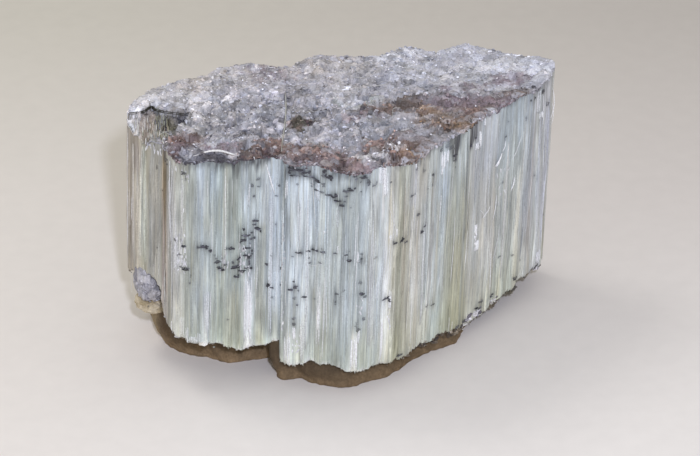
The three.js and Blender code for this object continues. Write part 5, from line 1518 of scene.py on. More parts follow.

# --------------------------------------------------------- listed features
# Bright cleavage faces that catch the light: x, y, length, width, turn.
GLINTS = [
    (1.2, 11.9, 2.2, 0.42, 0), (0.9, 10.3, 1.9, 0.40, 0.10), (-20.4, -0.8, 0.7, 0.6, 0), (-19.9, -0.2, 0.4, 0.3, 0), (-14.6, 9.2, 0.6, 0.3, 0.2),
    (-13.2, 8.2, 0.5, 0.3, -0.2), (28.4, 26.2, 0.9, 0.3, 0), (31.8, 25.0, 0.8, 0.3, 0), (33.6, 24.3, 1.4, 0.3, 0.1), (35.6, 23.6, 0.8, 0.3, 0),
    (14.5, 26.2, 0.6, 0.3, 0.3), (16.2, 25.6, 0.7, 0.3, -0.3), (-31.5, 7.6, 0.5, 0.3, 0.3),
    (-24.0, 6.5, 0.4, 0.3, 0), (-10.0, -5.6, 0.4, 0.3, 0), (-6.2, -8.8, 0.4, 0.3, 0.3), (10.6, -1.2, 0.5, 0.3, 0),
    (13.0, -2.4, 0.4, 0.3, 0.5), (22.0, 16.0, 0.5, 0.3, 0), (6.5, 14.2, 0.5, 0.3, 0), (18.0, 21.0, 0.5, 0.3, 0.3),
    (-2.0, 15.0, 0.5, 0.3, 0), (4.6, -8.0, 0.4, 0.3, 0), (-18.4, 12.6, 0.4, 0.3, 0), (37.8, 20.5, 0.9, 0.3, 0.4),
    (7.6, -14.2, 0.6, 0.4, 0.2), (25.0, 4.6, 0.4, 0.3, 0), (16.4, -8.4, 0.4, 0.3, 0.2), (-28.0, 9.4, 0.4, 0.3, 0),
    (6.0, -16.0, 0.7, 0.4, 0.3), (2.9, -11.2, 0.4, 0.3, 0), (12.0, -13.4, 0.4, 0.3, 0), (-26.4, -12.6, 0.4, 0.3, 0),
]
# Light comes from the front, a little to the right, and is seen from the front: faces
# with this normal flash.
FLASH = Vector((0.035, -0.845, 0.53)).normalized()


def build_glints():
    rng = np.random.default_rng(521)
    g = np.array(GLINTS)
    n = len(g)
    normal = np.array(FLASH)[None] + rng.normal(0, 0.035, (n, 3))
    normal /= np.linalg.norm(normal, axis=1)[:, None]
    x, y = g[:, 0], g[:, 1]
    z = crust_height(x, y) + 0.40 * g[:, 3] + 0.08
    tint = np.ones((n, 3)) * np.array([0.78, 0.79, 0.84])
    plates("wall_glints", np.stack([x, y, z], 1), normal, g[:, 4], g[:, 2], g[:, 3], np.full(n, 0.10), tint,
           np.full(n, 0.15), MICA, 522, sides=7)


build_glints()

def build_marks():
    """Every speck is a small cluster of flat, angular grains lying in the surface."""
    rng = np.random.default_rng(531)
    S, Z, W, H, K = [], [], [], [], []
    for s, z, w, h, k in ALL_MARKS:
        count = max(2, int(round(w * h / (0.16 if w * h < 1.2 else 0.26))))
        for q in range(count):
            if q == 0 and w * h < 1.2:   # the body of the speck
                S.append(s); Z.append(z); W.append(w * 0.85); H.append(min(h * 0.8, 0.75)); K.append(k)
                continue
            r, a = math.sqrt(rng.random()) * 0.5, rng.uniform(0, 2 * math.pi)
            S.append(s + w * r * math.cos(a))
            Z.append(z + h * r * math.sin(a))
            W.append(min(w, rng.uniform(0.35, 0.85)))
            H.append(min(h, rng.uniform(0.20, 0.48)))
            K.append(k * rng.uniform(0.8, 1.0))
    S, Z, W, H, K = map(np.array, (S, Z, W, H, K))
    faint = K < 0.66
    W, H = np.where(faint, W * 0.8, W * 1.12), np.where(faint, np.minimum(H, 0.5), H)
    n = len(S)
    pos, nrm = on_side(S, Z, 0.07)
    relief, shade, hue, valley_shade = fibre_structure(S, Z)
    local = fibre_tint(S, Z, hue, shade)
    dark = np.array([0.036, 0.037, 0.047]) * np.exp(rng.normal(0, 0.40, n))[:, None]
    dark = dark * np.where(rng.random(n) < 0.12, 2.6, 1.0)[:, None]
    tint = mix(local * 0.8, dark, np.clip(K * 1.3 - 0.05, 0, 1)[:, None])
    normal = np.concatenate([nrm, rng.normal(0, 0.12, (n, 1))], 1) + rng.normal(0, 0.08, (n, 3))
    normal /= np.linalg.norm(normal, axis=1)[:, None]
    size = np.stack([W * 1.10, H * 0.95, rng.uniform(0.14, 0.22, n)], 1)
    lumps("dark_specks", pos, normal, rng.normal(0, 0.16, n), size, tint, rng.uniform(0, 1, n), MARK, 533, rough=0.42)
    return n


# Pale flaky bits on the fibres: s, z, spread along, spread up, how many, brightness.
FLAKY = [
    (20.4, 28.6, 1.1, 3.4, 34, 0.66), (20.9, 26.0, 1.0, 2.0, 18, 0.7), (32.4, 26.4, 1.1, 3.0, 34, 0.62), (28.6, 26.6, 0.9, 2.0, 14, 0.55),
    (21.6, 44.6, 0.8, 1.2, 8, 0.55), (41.5, 32.0, 0.35, 9.0, 9, 0.7), (41.8, 14.0, 0.4, 5.0, 6, 0.7), (44.4, 10.0, 0.8, 2.4, 10, 0.85),
    (86.5, 21.0, 0.5, 2.6, 12, 0.95), (107.8, 7.2, 0.8, 1.8, 16, 0.9), (9.4, 45.0, 2.6, 0.8, 16, 0.75), (62.6, 13.4, 0.8, 2.0, 8, 0.8),
    (94.0, 31.0, 2.0, 6.0, 12, 0.8), (56.2, 19.0, 0.6, 3.0, 8, 0.8),
]


def build_flaky():
    rng = np.random.default_rng(534)
    S, Z, B = [], [], []
    for s, z, ws, wz, count, bright in FLAKY:
        S += list(s + ws * rng.uniform(-1, 1, count)); Z += list(z + wz * rng.uniform(-1, 1, count)); B += [bright] * count
    S, Z, B = np.array(S), np.array(Z), np.array(B)
    n = len(S)
    pos, nrm = on_side(S, Z, 0.04)
    tint = np.array([0.97, 0.98, 1.02])[None] * (B * np.exp(rng.normal(-0.08, 0.16, n)))[:, None]
    normal = np.concatenate([nrm, rng.normal(0.1, 0.3, (n, 1))], 1) + rng.normal(0, 0.15, (n, 3))
    normal /= np.linalg.norm(normal, axis=1)[:, None]
    size = np.stack([rng.uniform(0.16, 0.42, n), rng.uniform(0.4, 1.5, n), rng.uniform(0.06, 0.13, n)], 1)
    lumps("pale_flakes", pos, normal, rng.normal(0, 0.16, n), size, np.clip(tint, 0, 0.95), rng.uniform(0, 0.7, n), GRAIN, 535, rough=0.4)


n_marks = build_marks()
build_flaky()

# Bright fibres, partly whiter fibres and partly painted highlights: s, lowest z, highest z, width of the bunch,
# strength.
BRIGHT = [
    (20.9, 9.9, 14.6, 0.9, 0.40), (22.0, 9.7, 12.6, 0.7, 0.45), (24.0, 9.0, 11.4, 1.0, 0.4), (22.8, 9.0, 10.6, 2.0, 0.6), (18.6, 10.6, 13.0, 0.4, 0.6), (20.8, 30.0, 46.0, 0.5, 0.35), (40.7, 18.0, 38.0, 0.5, 0.45),
    (60.6, 40.2, 47.2, 0.66, 1.0), (59.9, 42.8, 47.0, 0.96, 0.8), (61.2, 39.5, 45.2, 0.33, 0.5), (21.2, 36.2, 37.8, 0.36, 1.0),
    (19.7, 44.8, 46.0, 0.33, 0.8), (33.0, 37.2, 42.5, 0.27, 0.5), (32.6, 37.8, 40.0, 0.18, 0.4),
    (33.1, 7.2, 23.0, 1.26, 0.6), (25.5, 9.8, 20.5, 0.8, 0.45), (26.2, 14.5, 21.2, 0.27, 0.5), (42.7, 5.5, 11.2, 1.2, 0.7),
    (43.9, 10.5, 13.5, 0.6, 1.0), (45.5, 5.5, 15.0, 0.72, 0.4), (48.4, 13.0, 19.5, 0.3, 1.0), (48.5, 9.8, 22.8, 0.5, 0.5),
    (55.0, 5.0, 12.0, 0.72, 0.7), (55.7, 5.0, 12.5, 0.6, 0.7), (56.2, 10.2, 14.0, 0.44, 0.9), (61.1, 5.2, 14.5, 0.4, 0.9),
    (62.9, 15.8, 20.0, 0.4, 1.0), (59.9, 18.8, 23.0, 0.6, 0.4), (63.4, 31.2, 33.0, 0.36, 0.6), (62.2, 30.8, 32.0, 0.3, 0.8),
    (55.5, 27.8, 30.2, 0.36, 0.9), (51.6, 30.0, 31.8, 0.4, 0.6), (49.2, 33.5, 34.5, 0.36, 0.6), (75.9, 40.2, 44.0, 0.78, 0.9),
    (76.9, 41.0, 43.8, 0.52, 0.7), (75.6, 39.0, 40.8, 0.52, 0.8), (67.9, 43.5, 45.2, 0.42, 0.8), (86.5, 40.2, 44.0, 0.64, 1.0),
    (85.6, 40.2, 41.8, 0.6, 0.7), (86.2, 22.5, 24.2, 0.76, 1.0), (86.2, 21.2, 22.0, 0.64, 1.0), (86.9, 18.2, 20.5, 1.33, 1.0),
    (105.8, 38.5, 40.0, 1.1, 1.0), (104.4, 40.2, 45.2, 1.5, 0.5), (108.1, 5.8, 8.5, 1.26, 0.7), (87.9, 44.2, 46.0, 0.56, 0.7),
    (41.8, 39.8, 43.8, 0.4, 0.7), (44.4, 29.8, 41.2, 0.54, 0.35), (47.6, 40.2, 44.5, 0.72, 0.3), (51.5, 35.0, 40.0, 0.6, 0.2),
    (18.7, 10, 46, 0.4, 0.30), (0.9, 16, 46, 0.8, 0.5), (3.6, 18, 44, 0.5, 0.35), (28.7, 24, 46, 0.3, 0.5), (20.2, 24, 31, 1.6, 0.30),
    (37.3, 8, 44, 0.6, 0.35), (46.0, 8, 42, 0.5, 0.35), (58.4, 6, 40, 0.5, 0.3), (71.4, 8, 30, 0.6, 0.3), (95.4, 8, 38, 0.5, 0.3),
]
# Loose fibres that lie across the others, near white by strength as partly painted highlights: s and z at both ends,
# bow outward, radius, strength.
SLANTED = [
    (36.0, 46.0, 37.7, 40.4, 0.5, 0.10, 1.0), (36.5, 44.6, 37.4, 41.4, 0.4, 0.06, 0.9), (91.6, 34.2, 93.4, 36.4, 0.4, 0.16, 1.0),
    (92.0, 34.0, 93.0, 35.2, 0.3, 0.12, 1.0), (93.6, 36.6, 94.6, 38.4, 0.4, 0.09, 0.9), (96.4, 33.6, 99.0, 37.8, 0.5, 0.06, 0.8),
    (96.8, 27.0, 97.6, 29.4, 0.4, 0.14, 1.0), (91.6, 22.6, 92.6, 27.6, 0.3, 0.09, 0.7), (88.2, 24.6, 90.4, 26.4, 0.5, 0.08, 0.9),
    (87.6, 26.6, 88.8, 24.8, 0.4, 0.07, 0.9), (92.2, 14.0, 94.4, 20.5, 0.3, 0.06, 0.5), (61.6, 38.0, 63.6, 31.0, 0.4, 0.05, 0.6),
    (62.4, 41.0, 62.9, 30.0, 0.5, 0.06, 0.7), (109.6, 36.4, 111.2, 42.6, 0.9, 0.08, 1.0), (110.2, 35.0, 111.0, 39.4, 0.7, 0.06, 0.8),
    (17.8, 46.2, 18.6, 28.0, 0.35, 0.09, 0.8), (18.9, 45.0, 17.9, 31.5, 0.45, 0.06, 0.6), (46.4, 26.6, 49.0, 27.4, 0.2, 0.05, 0.5),
    (105.8, 43.5, 106.4, 36.0, 0.3, 0.07, 0.8), (71.0, 35.0, 72.2, 26.0, 0.3, 0.05, 0.4),
]


def side_line(s0, z0, s1, z1, bow, k, lift=0.05):
    """A line of k points over the fibre surface between two places on it."""
    t = np.linspace(0, 1, k)
    s = s0 + (s1 - s0) * t
    z = z0 + (z1 - z0) * t
    pos, n = on_side(s, z, lift)
    # taut, so that it bridges the hollows, and bowed a little outward
    chord = pos[:1] * (1 - t)[:, None] + pos[-1:] * t[:, None]
    over = np.maximum(((pos - chord)[:, :2] * n).sum(1), 0)
    chord[:, :2] += n * (over + bow * np.sin(math.pi * t) * 0.5 + lift)[:, None]
    return chord


def build_threads():
    rng = np.random.default_rng(541)
    K = 9
    s_, low_, high_, r_, k_, lift_, drift_ = [], [], [], [], [], [], []

    def want(s, low, high, r, k, lift, drift):
        s_.append(s); low_.append(low); high_.append(high); r_.append(r); k_.append(k); lift_.append(lift); drift_.append(drift)

    for s, z0, z1, w, k in BRIGHT:
        count = int(max(3, round(w / 0.075)))
        for _ in range(count):
            span = (z1 - z0) * rng.uniform(0.55, 1.0)
            low = z0 + (z1 - z0 - span) * rng.random()
            want(s + w * rng.uniform(-0.5, 0.5), low, low + span, rng.uniform(0.05, 0.10), min(1.0, k * rng.uniform(0.8, 1.25)),
                 rng.uniform(0.03, 0.09), rng.normal(0, 0.25))
    # ordinary fibres everywhere, long and thin
    for _ in range(1500):
        s = rng.uniform(0, FRONT_LENGTH) if rng.random() < 0.68 else rng.uniform(FRONT_LENGTH, PERIMETER)
        end, top = np.interp(s, SIDE_S, SIDE_END), np.interp(s, SIDE_S, SIDE_TOP) - 0.5
        span = min(top - end, rng.choice([4, 8, 14, 24]) * rng.uniform(0.6, 1.4))
        low = end + 0.3 + (top - end - span) * rng.random()
        bright = rng.uniform(0.3, 0.9) if rng.random() < 0.07 else 0.0
        want(s, low, low + span, rng.uniform(0.035, 0.085), bright, rng.uniform(-0.02, 0.035), rng.normal(0, 0.5))
    s_, low_, high_, r_, k_, lift_, drift_ = map(np.array, (s_, low_, high_, r_, k_, lift_, drift_))
    n = len(s_)
    t = np.linspace(0, 1, K)
    Z = low_[:, None] + (high_ - low_)[:, None] * t
    S = s_[:, None] + drift_[:, None] * (Z - low_[:, None]) / 40 + 0.05 * np.sin(Z / rng.uniform(4, 9, n)[:, None] + rng.uniform(0, 6, n)[:, None])
    pos, nn = on_side(S, Z, lift_[:, None])
    body = pos.copy()
    body[:, 1:-1] = (pos[:, :-2] + pos[:, 1:-1] * 2 + pos[:, 2:]) / 4
    gap = ((pos - body)[..., :2] * nn).sum(-1)
    body[..., :2] += nn * np.maximum(gap, 0)[..., None]
    body[:, 0, :2] -= nn[:, 0] * 0.06
    body[:, -1, :2] -= nn[:, -1] * 0.06
    mid = (low_ + high_) / 2
    _, shade, hue, _ = fibre_structure(s_, mid)
    local = fibre_tint(s_, mid, hue, shade)
    plain = local * np.exp(rng.normal(0.06, 0.13, n))[:, None]
    # whitened by strength: whiter fibres, partly painted highlights
    tint = np.clip(mix(plain, np.array([0.95, 0.965, 0.985]), k_[:, None]), 0.02, 0.97)
    lines, radius, tints, gloss = [body], [r_], [tint], [rng.uniform(0, 1, n)]

    # frayed tips past the broken ends
    m = 420
    s = rng.uniform(0, PERIMETER, m)
    end = np.interp(s, SIDE_S, SIDE_END)
    low, high = end - np.abs(rng.normal(0, 0.16, m)) - 0.02, end + rng.uniform(1.0, 3.5, m)
    Z = low[:, None] + (high - low)[:, None] * t
    pos, nn = on_side(np.broadcast_to(s[:, None], Z.shape), np.maximum(Z, end[:, None] + 0.1), rng.uniform(-0.12, 0.03, m)[:, None])
    pos[..., 2] = Z
    f = np.clip((end[:, None] + 0.4 - Z) / 1.0, 0, 1)
    pos[..., :2] += nn * (rng.normal(0.0, 0.10, m)[:, None] * f)[..., None]
    pos[..., 0] += rng.normal(0, 0.10, m)[:, None] * f
    _, shade, hue, _ = fibre_structure(s, end + 1)
    local = fibre_tint(s, end + 1, hue, shade)
    lines.append(pos)
    radius.append(rng.uniform(0.05, 0.12, m))
    tints.append(np.clip(mix(local, np.array([0.86, 0.87, 0.86]), np.maximum(0, rng.normal(0.2, 0.2, m))[:, None]), 0.02, 0.95))
    gloss.append(rng.uniform(0, 1, m))

    extra, er, et, eg = [], [], [], []
    for s0, z0, s1, z1, bow, r, k in SLANTED:
        extra.append(side_line(s0, z0, s1, z1, bow, K)); er.append(r); eg.append(0.1)
        et.append(mix(np.array([0.55, 0.57, 0.57]), np.array([0.95, 0.96, 0.98]), k))
    for _ in range(70):                   # a few more stray ones
        s0, z0, dz = rng.uniform(0, PERIMETER), rng.uniform(9, 38), rng.uniform(2.5, 9)
        extra.append(side_line(s0, z0, s0 + rng.normal(0, 0.06) * dz, z0 + dz, abs(rng.normal(0, 0.3)), K))
        er.append(rng.uniform(0.03, 0.06)); eg.append(0.3)
        et.append(np.array([0.66, 0.67, 0.65]) * rng.uniform(0.7, 1.3))
    lines.append(np.array(extra)); radius.append(np.array(er)); tints.append(np.array(et)); gloss.append(np.array(eg))
    threads("loose_fibres", np.concatenate(lines), np.concatenate(radius), np.concatenate(tints), np.concatenate(gloss), THREAD)
    return len(np.concatenate(radius))


n_threads = build_threads()


# ----------------------------------------------------------------- bottom crust
def build_foot():
    s, xy, total = fine_outline(FOOT, 0.30, 0.35)
    n = outward(xy, 2)
    count = len(s)
    rows = np.array([0, 0.25, 0.6, 1.0, 1.5, 2.1, 2.8, 3.6, 4.6, 5.8, 7.2, 9.0])
    front = np.interp(xy[:, 0], [a for a, _ in FIBRE_END], [b for _, b in FIBRE_END])
    t = smooth((xy[:, 1] - 2) / 16)
    top = np.where(t > 0, front * (1 - t) + 4.2 * t, front) + 1.6
    pts, tint = [], []
    for k, r in enumerate(rows):
        z = top * r / rows[-1]
        wob = 0.22 * noise3(s / 0.9, z / 0.8, np.full(count, 0.0), 611) + 0.30 * noise3(s / 2.7, z / 2.2, np.full(count, 1.0), 612)
        if k == 0:
            wob = 0.16 * noise1(s / 0.8, 613) + 0.12 * noise1(s / 2.3, 614)
        p = xy + n * wob[:, None]
        pts.append(np.concatenate([p, z[:, None]], 1))
        far_left = smooth((-32.4 - xy[:, 0]) / 2.4) * (xy[:, 1] < 4)
        # painted shadow: the foot is the lower wall the block stands on, and its dark brown stands in for the shadowed
        # gap under the fibre ends, darker upward under the overhang
        overhang_shade = smooth(z / 4.5)[:, None]
        c = mix(np.ones((count, 3)) * np.array([0.176, 0.122, 0.070]), np.array([0.080, 0.056, 0.034]), overhang_shade)
        c = mix(c, np.array([0.36, 0.285, 0.175]), 0.6 * far_left[:, None])
        c = c * (1 + 0.22 * noise3(s / 1.1, z / 0.9, np.full(count, 2.0), 615))[:, None]
        # painted shadow, lighter at the left front to match the shadow tone there
        c = c * (1 + 0.32 * smooth((-9.5 - xy[:, 0]) / 4) * smooth((4 - xy[:, 1]) / 4))[:, None]
        tint.append(c)
    idx = np.arange(count * len(rows)).reshape(len(rows), count)
    nxt = np.roll(idx, -1, axis=1)
    quads = np.stack([idx[:-1], nxt[:-1], nxt[1:], idx[1:]], -1).reshape(-1, 4)
    u = s / total
    u1 = u + 1 / count
    v = 0.02 + 0.80 * rows / rows[-1]
    uv = np.zeros((len(rows) - 1, count, 4, 2))
    for k in range(len(rows) - 1):
        uv[k, :, 0] = np.stack([u, np.full(count, v[k])], 1)
        uv[k, :, 1] = np.stack([u1, np.full(count, v[k])], 1)
        uv[k, :, 2] = np.stack([u1, np.full(count, v[k + 1])], 1)
        uv[k, :, 3] = np.stack([u, np.full(count, v[k + 1])], 1)
    pts = np.concatenate(pts)
    tint = np.concatenate(tint)
    c0, c1 = len(pts), len(pts) + 1
    pts = np.concatenate([pts, [[0, 3, 0.0], [0, 3, 6.0]]])
    tint = np.concatenate([tint, [[0.10, 0.075, 0.05], [0.1, 0.07, 0.05]]])
    low = np.stack([idx[0], np.full(count, c0), np.roll(idx[0], -1)], 1)
    high = np.stack([idx[-1], np.roll(idx[-1], -1), np.full(count, c1)], 1)
    def fan(vv0, vv1, order):
        a = np.stack([u, np.full(count, vv0)], 1)
        b = np.stack([u1, np.full(count, vv0)], 1)
        c = np.stack([(u + u1) / 2, np.full(count, vv1)], 1)
        return np.stack([a, c, b] if order else [a, b, c], 1)
    return make_mesh("lower_wall", pts, [quads, low, high], LOWER, tint=tint,
                     uv=[uv.reshape(-1, 4, 2), fan(0.86, 0.90, True), fan(0.93, 0.98, False)])


build_foot()


def sphere_mesh(level):
    """Unit icosphere: points and faces."""
    p = [tuple(v) for v in ICO]
    f = [tuple(t) for t in ICO_FACES]
    for _ in range(level):
        middle, g = {}, []

        def half(i, j):
            key = (min(i, j), max(i, j))
            if key not in middle:
                m = (np.array(p[i]) + np.array(p[j])) / 2
                p.append(tuple(m / np.linalg.norm(m)))
                middle[key] = len(p) - 1
            return middle[key]
        for a, b, c in f:
            ab, bc, ca = half(a, b), half(b, c), half(c, a)
            g += [(a, ab, ca), (b, bc, ab), (c, ca, bc), (ab, bc, ca)]
        f = g
    return np.array(p), np.array(f)


def build_chunk():
    """The grey lump of wall rock under the left end."""
    v, f = sphere_mesh(5)
    size = np.array([6.8, 8.8, 8.8])
    centre = np.array([-34.4, -5.2, 15.0])
    d1 = np.full(len(v), 9.0); d2 = np.full(len(v), 9.0); who = np.zeros(len(v), int)
    rng = np.random.default_rng(621)
    seeds = rng.normal(0, 1, (64, 3))
    seeds /= np.linalg.norm(seeds, axis=1)[:, None]
    off = rng.uniform(-1, 1, 64)
    lean = rng.normal(0, 0.5, (64, 3))
    dist = np.linalg.norm(v[:, None, :] - seeds[None], axis=2)
    order = np.sort(dist, axis=1)
    who = dist.argmin(1)
    gap = np.exp(-(order[:, 1] - order[:, 0]) / 0.05)
    r = 1 + 0.06 * off[who] + 0.10 * ((v - seeds[who]) * lean[who]).sum(1) - 0.04 * gap
    r += 0.05 * noise3(v[:, 0] * 6, v[:, 1] * 6, v[:, 2] * 6, 622) + 0.03 * noise3(v[:, 0] * 14, v[:, 1] * 14, v[:, 2] * 14, 623)
    p = centre + v * size / 2 * r[:, None]
    base = np.array([TONES["lilac"], TONES["grey"], TONES["pale"], TONES["charcoal"] * 2.2, TONES["taupe"]])
    tone = base[rng.choice(5, 64, p=[0.36, 0.24, 0.22, 0.08, 0.10])] * rng.uniform(0.68, 1.05, (64, 1))
    # painted shade in the crevices between its facets
    tint = mix(tone[who], TONES["lilac"] * 0.80, 0.45) * (1 - 0.22 * gap)[:, None]
    soft = 0.6 * noise3(v[:, 0] * 3, v[:, 1] * 3, v[:, 2] * 3, 628) + 0.4 * noise3(v[:, 0] * 7, v[:, 1] * 7, v[:, 2] * 7, 629)
    tint = tint * np.exp(0.35 * soft)[:, None]
    # painted shade where the fibres above and to the right meet and overhang it
    contact_shade = smooth((v[:, 2] - 0.72) / 0.16) + smooth((0.62 * v[:, 2] + 0.78 * v[:, 0] - 0.80) / 0.14)
    tint = mix(tint, srgb(60, 60, 66), np.clip(0.75 * contact_shade, 0, 0.75)[:, None])
    uvw = np.stack([np.arctan2(v[:, 1], v[:, 0]) / (2 * math.pi) + 0.5, np.arccos(np.clip(v[:, 2], -1, 1)) / math.pi], 1)
    q = uvw[f]
    wrap = (q[..., 0].max(1) - q[..., 0].min(1)) > 0.5
    q[wrap, :, 0] = np.where(q[wrap, :, 0] < 0.5, q[wrap, :, 0] + 1, q[wrap, :, 0]) - 0.0
    q[..., 0] = q[..., 0] * 0.9
    make_mesh("left_wall_lump", p, [f], CRUST, tint=tint, uv=[q], flat=False)
    # grains stuck to the lump
    n = 260
    d = rng.normal(0, 1, (n, 3))
    d /= np.linalg.norm(d, axis=1)[:, None]
    pos = centre + d * size / 2 * 1.0
    sz = np.clip(0.34 * np.exp(rng.normal(0, 0.4, n)), 0.16, 0.9)
    dims = np.stack([sz * 1.3, sz, sz * 0.7], 1)
    tone = mix(base[rng.choice(5, n, p=[0.38, 0.24, 0.20, 0.10, 0.08])], TONES["lilac"] * 0.8, 0.4) * np.exp(rng.normal(-0.10, 0.16, (n, 1)))
    # the same painted shade on its grains, where the fibres meet it
    shut_shade = smooth((d[:, 2] - 0.72) / 0.16) + smooth((0.62 * d[:, 2] + 0.78 * d[:, 0] - 0.80) / 0.14)
    tone = mix(tone, srgb(60, 60, 66), np.clip(0.75 * shut_shade, 0, 0.75)[:, None])
    lumps("left_lump_grains", pos, d, rng.uniform(0, 6.28, n), dims, tone, rng.uniform(0, 1, n), GRAIN, 624)
    # thin ochre crust under the lump
    size = np.array([7.0, 7.8, 4.0])
    centre = np.array([-34.0, -4.5, 9.9])
    r = 1 + 0.10 * noise3(v[:, 0] * 2.2, v[:, 1] * 2.2, v[:, 2] * 2.2, 625) + 0.05 * noise3(v[:, 0] * 7, v[:, 1] * 7, v[:, 2] * 7, 626)
    p = centre + v * size / 2 * r[:, None]
    tint = mix(np.array([0.56, 0.49, 0.37]), np.array([0.36, 0.295, 0.19]), np.clip(0.5 + 0.8 * noise3(v[:, 0] * 3, v[:, 1] * 3, v[:, 2] * 3, 627), 0, 1)[:, None])
    make_mesh("left_ochre_crust", p, [f], LOWER, tint=tint, uv=[q], flat=False)


build_chunk()


def build_bottom_bits():
    """Crumbs of wall rock along the broken fibre ends: dark, white and brown."""
    rng = np.random.default_rng(631)
    S, Z, D, T = [], [], [], []
    zones = [  # s range, count, how far down they hang, size, tones
        (62, 73, 60, 0.30, 0.30, [(0.05, 0.04, 0.035), (0.10, 0.075, 0.05), (0.16, 0.13, 0.10)]),
        (72, 83.4, 260, 0.9, 0.36, [(0.05, 0.04, 0.035), (0.09, 0.065, 0.045), (0.13, 0.10, 0.07), (0.24, 0.20, 0.15)]),
        (20, 41, 70, 0.15, 0.28, [(0.70, 0.69, 0.66), (0.60, 0.58, 0.52), (0.42, 0.38, 0.30), (0.16, 0.12, 0.08)]),
        (41, 62, 60, 0.15, 0.28, [(0.20, 0.16, 0.12), (0.12, 0.09, 0.06), (0.60, 0.58, 0.52), (0.5, 0.48, 0.42)]),
        (112, 207, 460, 0.4, 0.36, [(0.10, 0.08, 0.06), (0.45, 0.44, 0.42), (0.22, 0.19, 0.16), (0.05, 0.045, 0.04)]),
        (0, 20, 100, 0.25, 0.34, [(0.36, 0.35, 0.36), (0.18, 0.15, 0.12), (0.55, 0.54, 0.54)]),
        # right of the lower wall: small mixed crumbs, then a white clump, a pale one over brown,
        # and dark or olive crumbs with bare fibre ends between them
        (83.2, 86.4, 90, 0.5, 0.26, [(0.50, 0.48, 0.45), (0.16, 0.13, 0.10), (0.62, 0.61, 0.60), (0.22, 0.20, 0.14)]),
        (84.8, 89.2, 280, -1.1, 0.33, [(0.74, 0.73, 0.76), (0.64, 0.63, 0.66), (0.36, 0.35, 0.40), (0.12, 0.11, 0.13), (0.68, 0.67, 0.70)]),
        (89.2, 94.8, 300, -1.0, 0.32, [(0.70, 0.69, 0.68), (0.60, 0.59, 0.57), (0.66, 0.65, 0.66), (0.32, 0.30, 0.28), (0.10, 0.09, 0.09)]),
        (90.8, 94.6, 110, 0.7, 0.34, [(0.13, 0.10, 0.065), (0.10, 0.08, 0.055), (0.18, 0.145, 0.10)]),
        (97.6, 100.6, 70, 0.8, 0.34, [(0.12, 0.11, 0.08), (0.17, 0.15, 0.10), (0.07, 0.065, 0.06)]),
        (103.6, 106.8, 70, 0.6, 0.34, [(0.20, 0.18, 0.13), (0.14, 0.125, 0.09), (0.10, 0.09, 0.08)]),
        (107.6, 111, 60, 0.4, 0.34, [(0.66, 0.65, 0.68), (0.08, 0.075, 0.07), (0.58, 0.57, 0.60)]),
    ]
    for a, b, count, deep, big, tones in zones:
        for _ in range(count):
            s = rng.uniform(a, b)
            if rng.random() > 0.25 + 0.9 * noise1(np.array(s / 1.5), 633) + 0.4 * noise1(np.array(s / 0.5), 634) + 0.35:
                continue
            end = np.interp(s, SIDE_S, SIDE_END)
            S.append(s)
            Z.append(end + rng.normal(0.05, 0.18) - deep * rng.random() ** (1.3 if deep > 0 else 0.8))
            D.append(np.clip(big * math.exp(rng.normal(0, 0.5)), 0.15, 1.3))
            t = np.array(tones[rng.integers(len(tones))]) * rng.uniform(0.7, 1.3)
            T.append(t)
    S, Z, D, T = map(np.array, (S, Z, D, T))
    end = np.interp(S, SIDE_S, SIDE_END)
    pos, nrm = on_side(S, np.maximum(Z, end), 0.0)
    pos[:, 2] = Z
    n = len(S)
    under = np.maximum(end - Z, 0)
    pos[:, :2] -= nrm * (np.abs(rng.normal(0.05, 0.16, n)) + 0.35 * under)[:, None]
    normal = np.concatenate([nrm, -0.3 * np.ones((n, 1))], 1) + rng.normal(0, 0.4, (n, 3))
    normal /= np.linalg.norm(normal, axis=1)[:, None]
    dims = np.stack([D * rng.uniform(1, 1.9, n), D * rng.uniform(0.6, 1.0, n), D * rng.uniform(0.5, 0.9, n)], 1)
    lumps("lower_crumbs", pos, normal, rng.normal(0, 0.5, n), dims, T, rng.uniform(0.2, 1, n), GRAIN, 632)


build_bottom_bits()


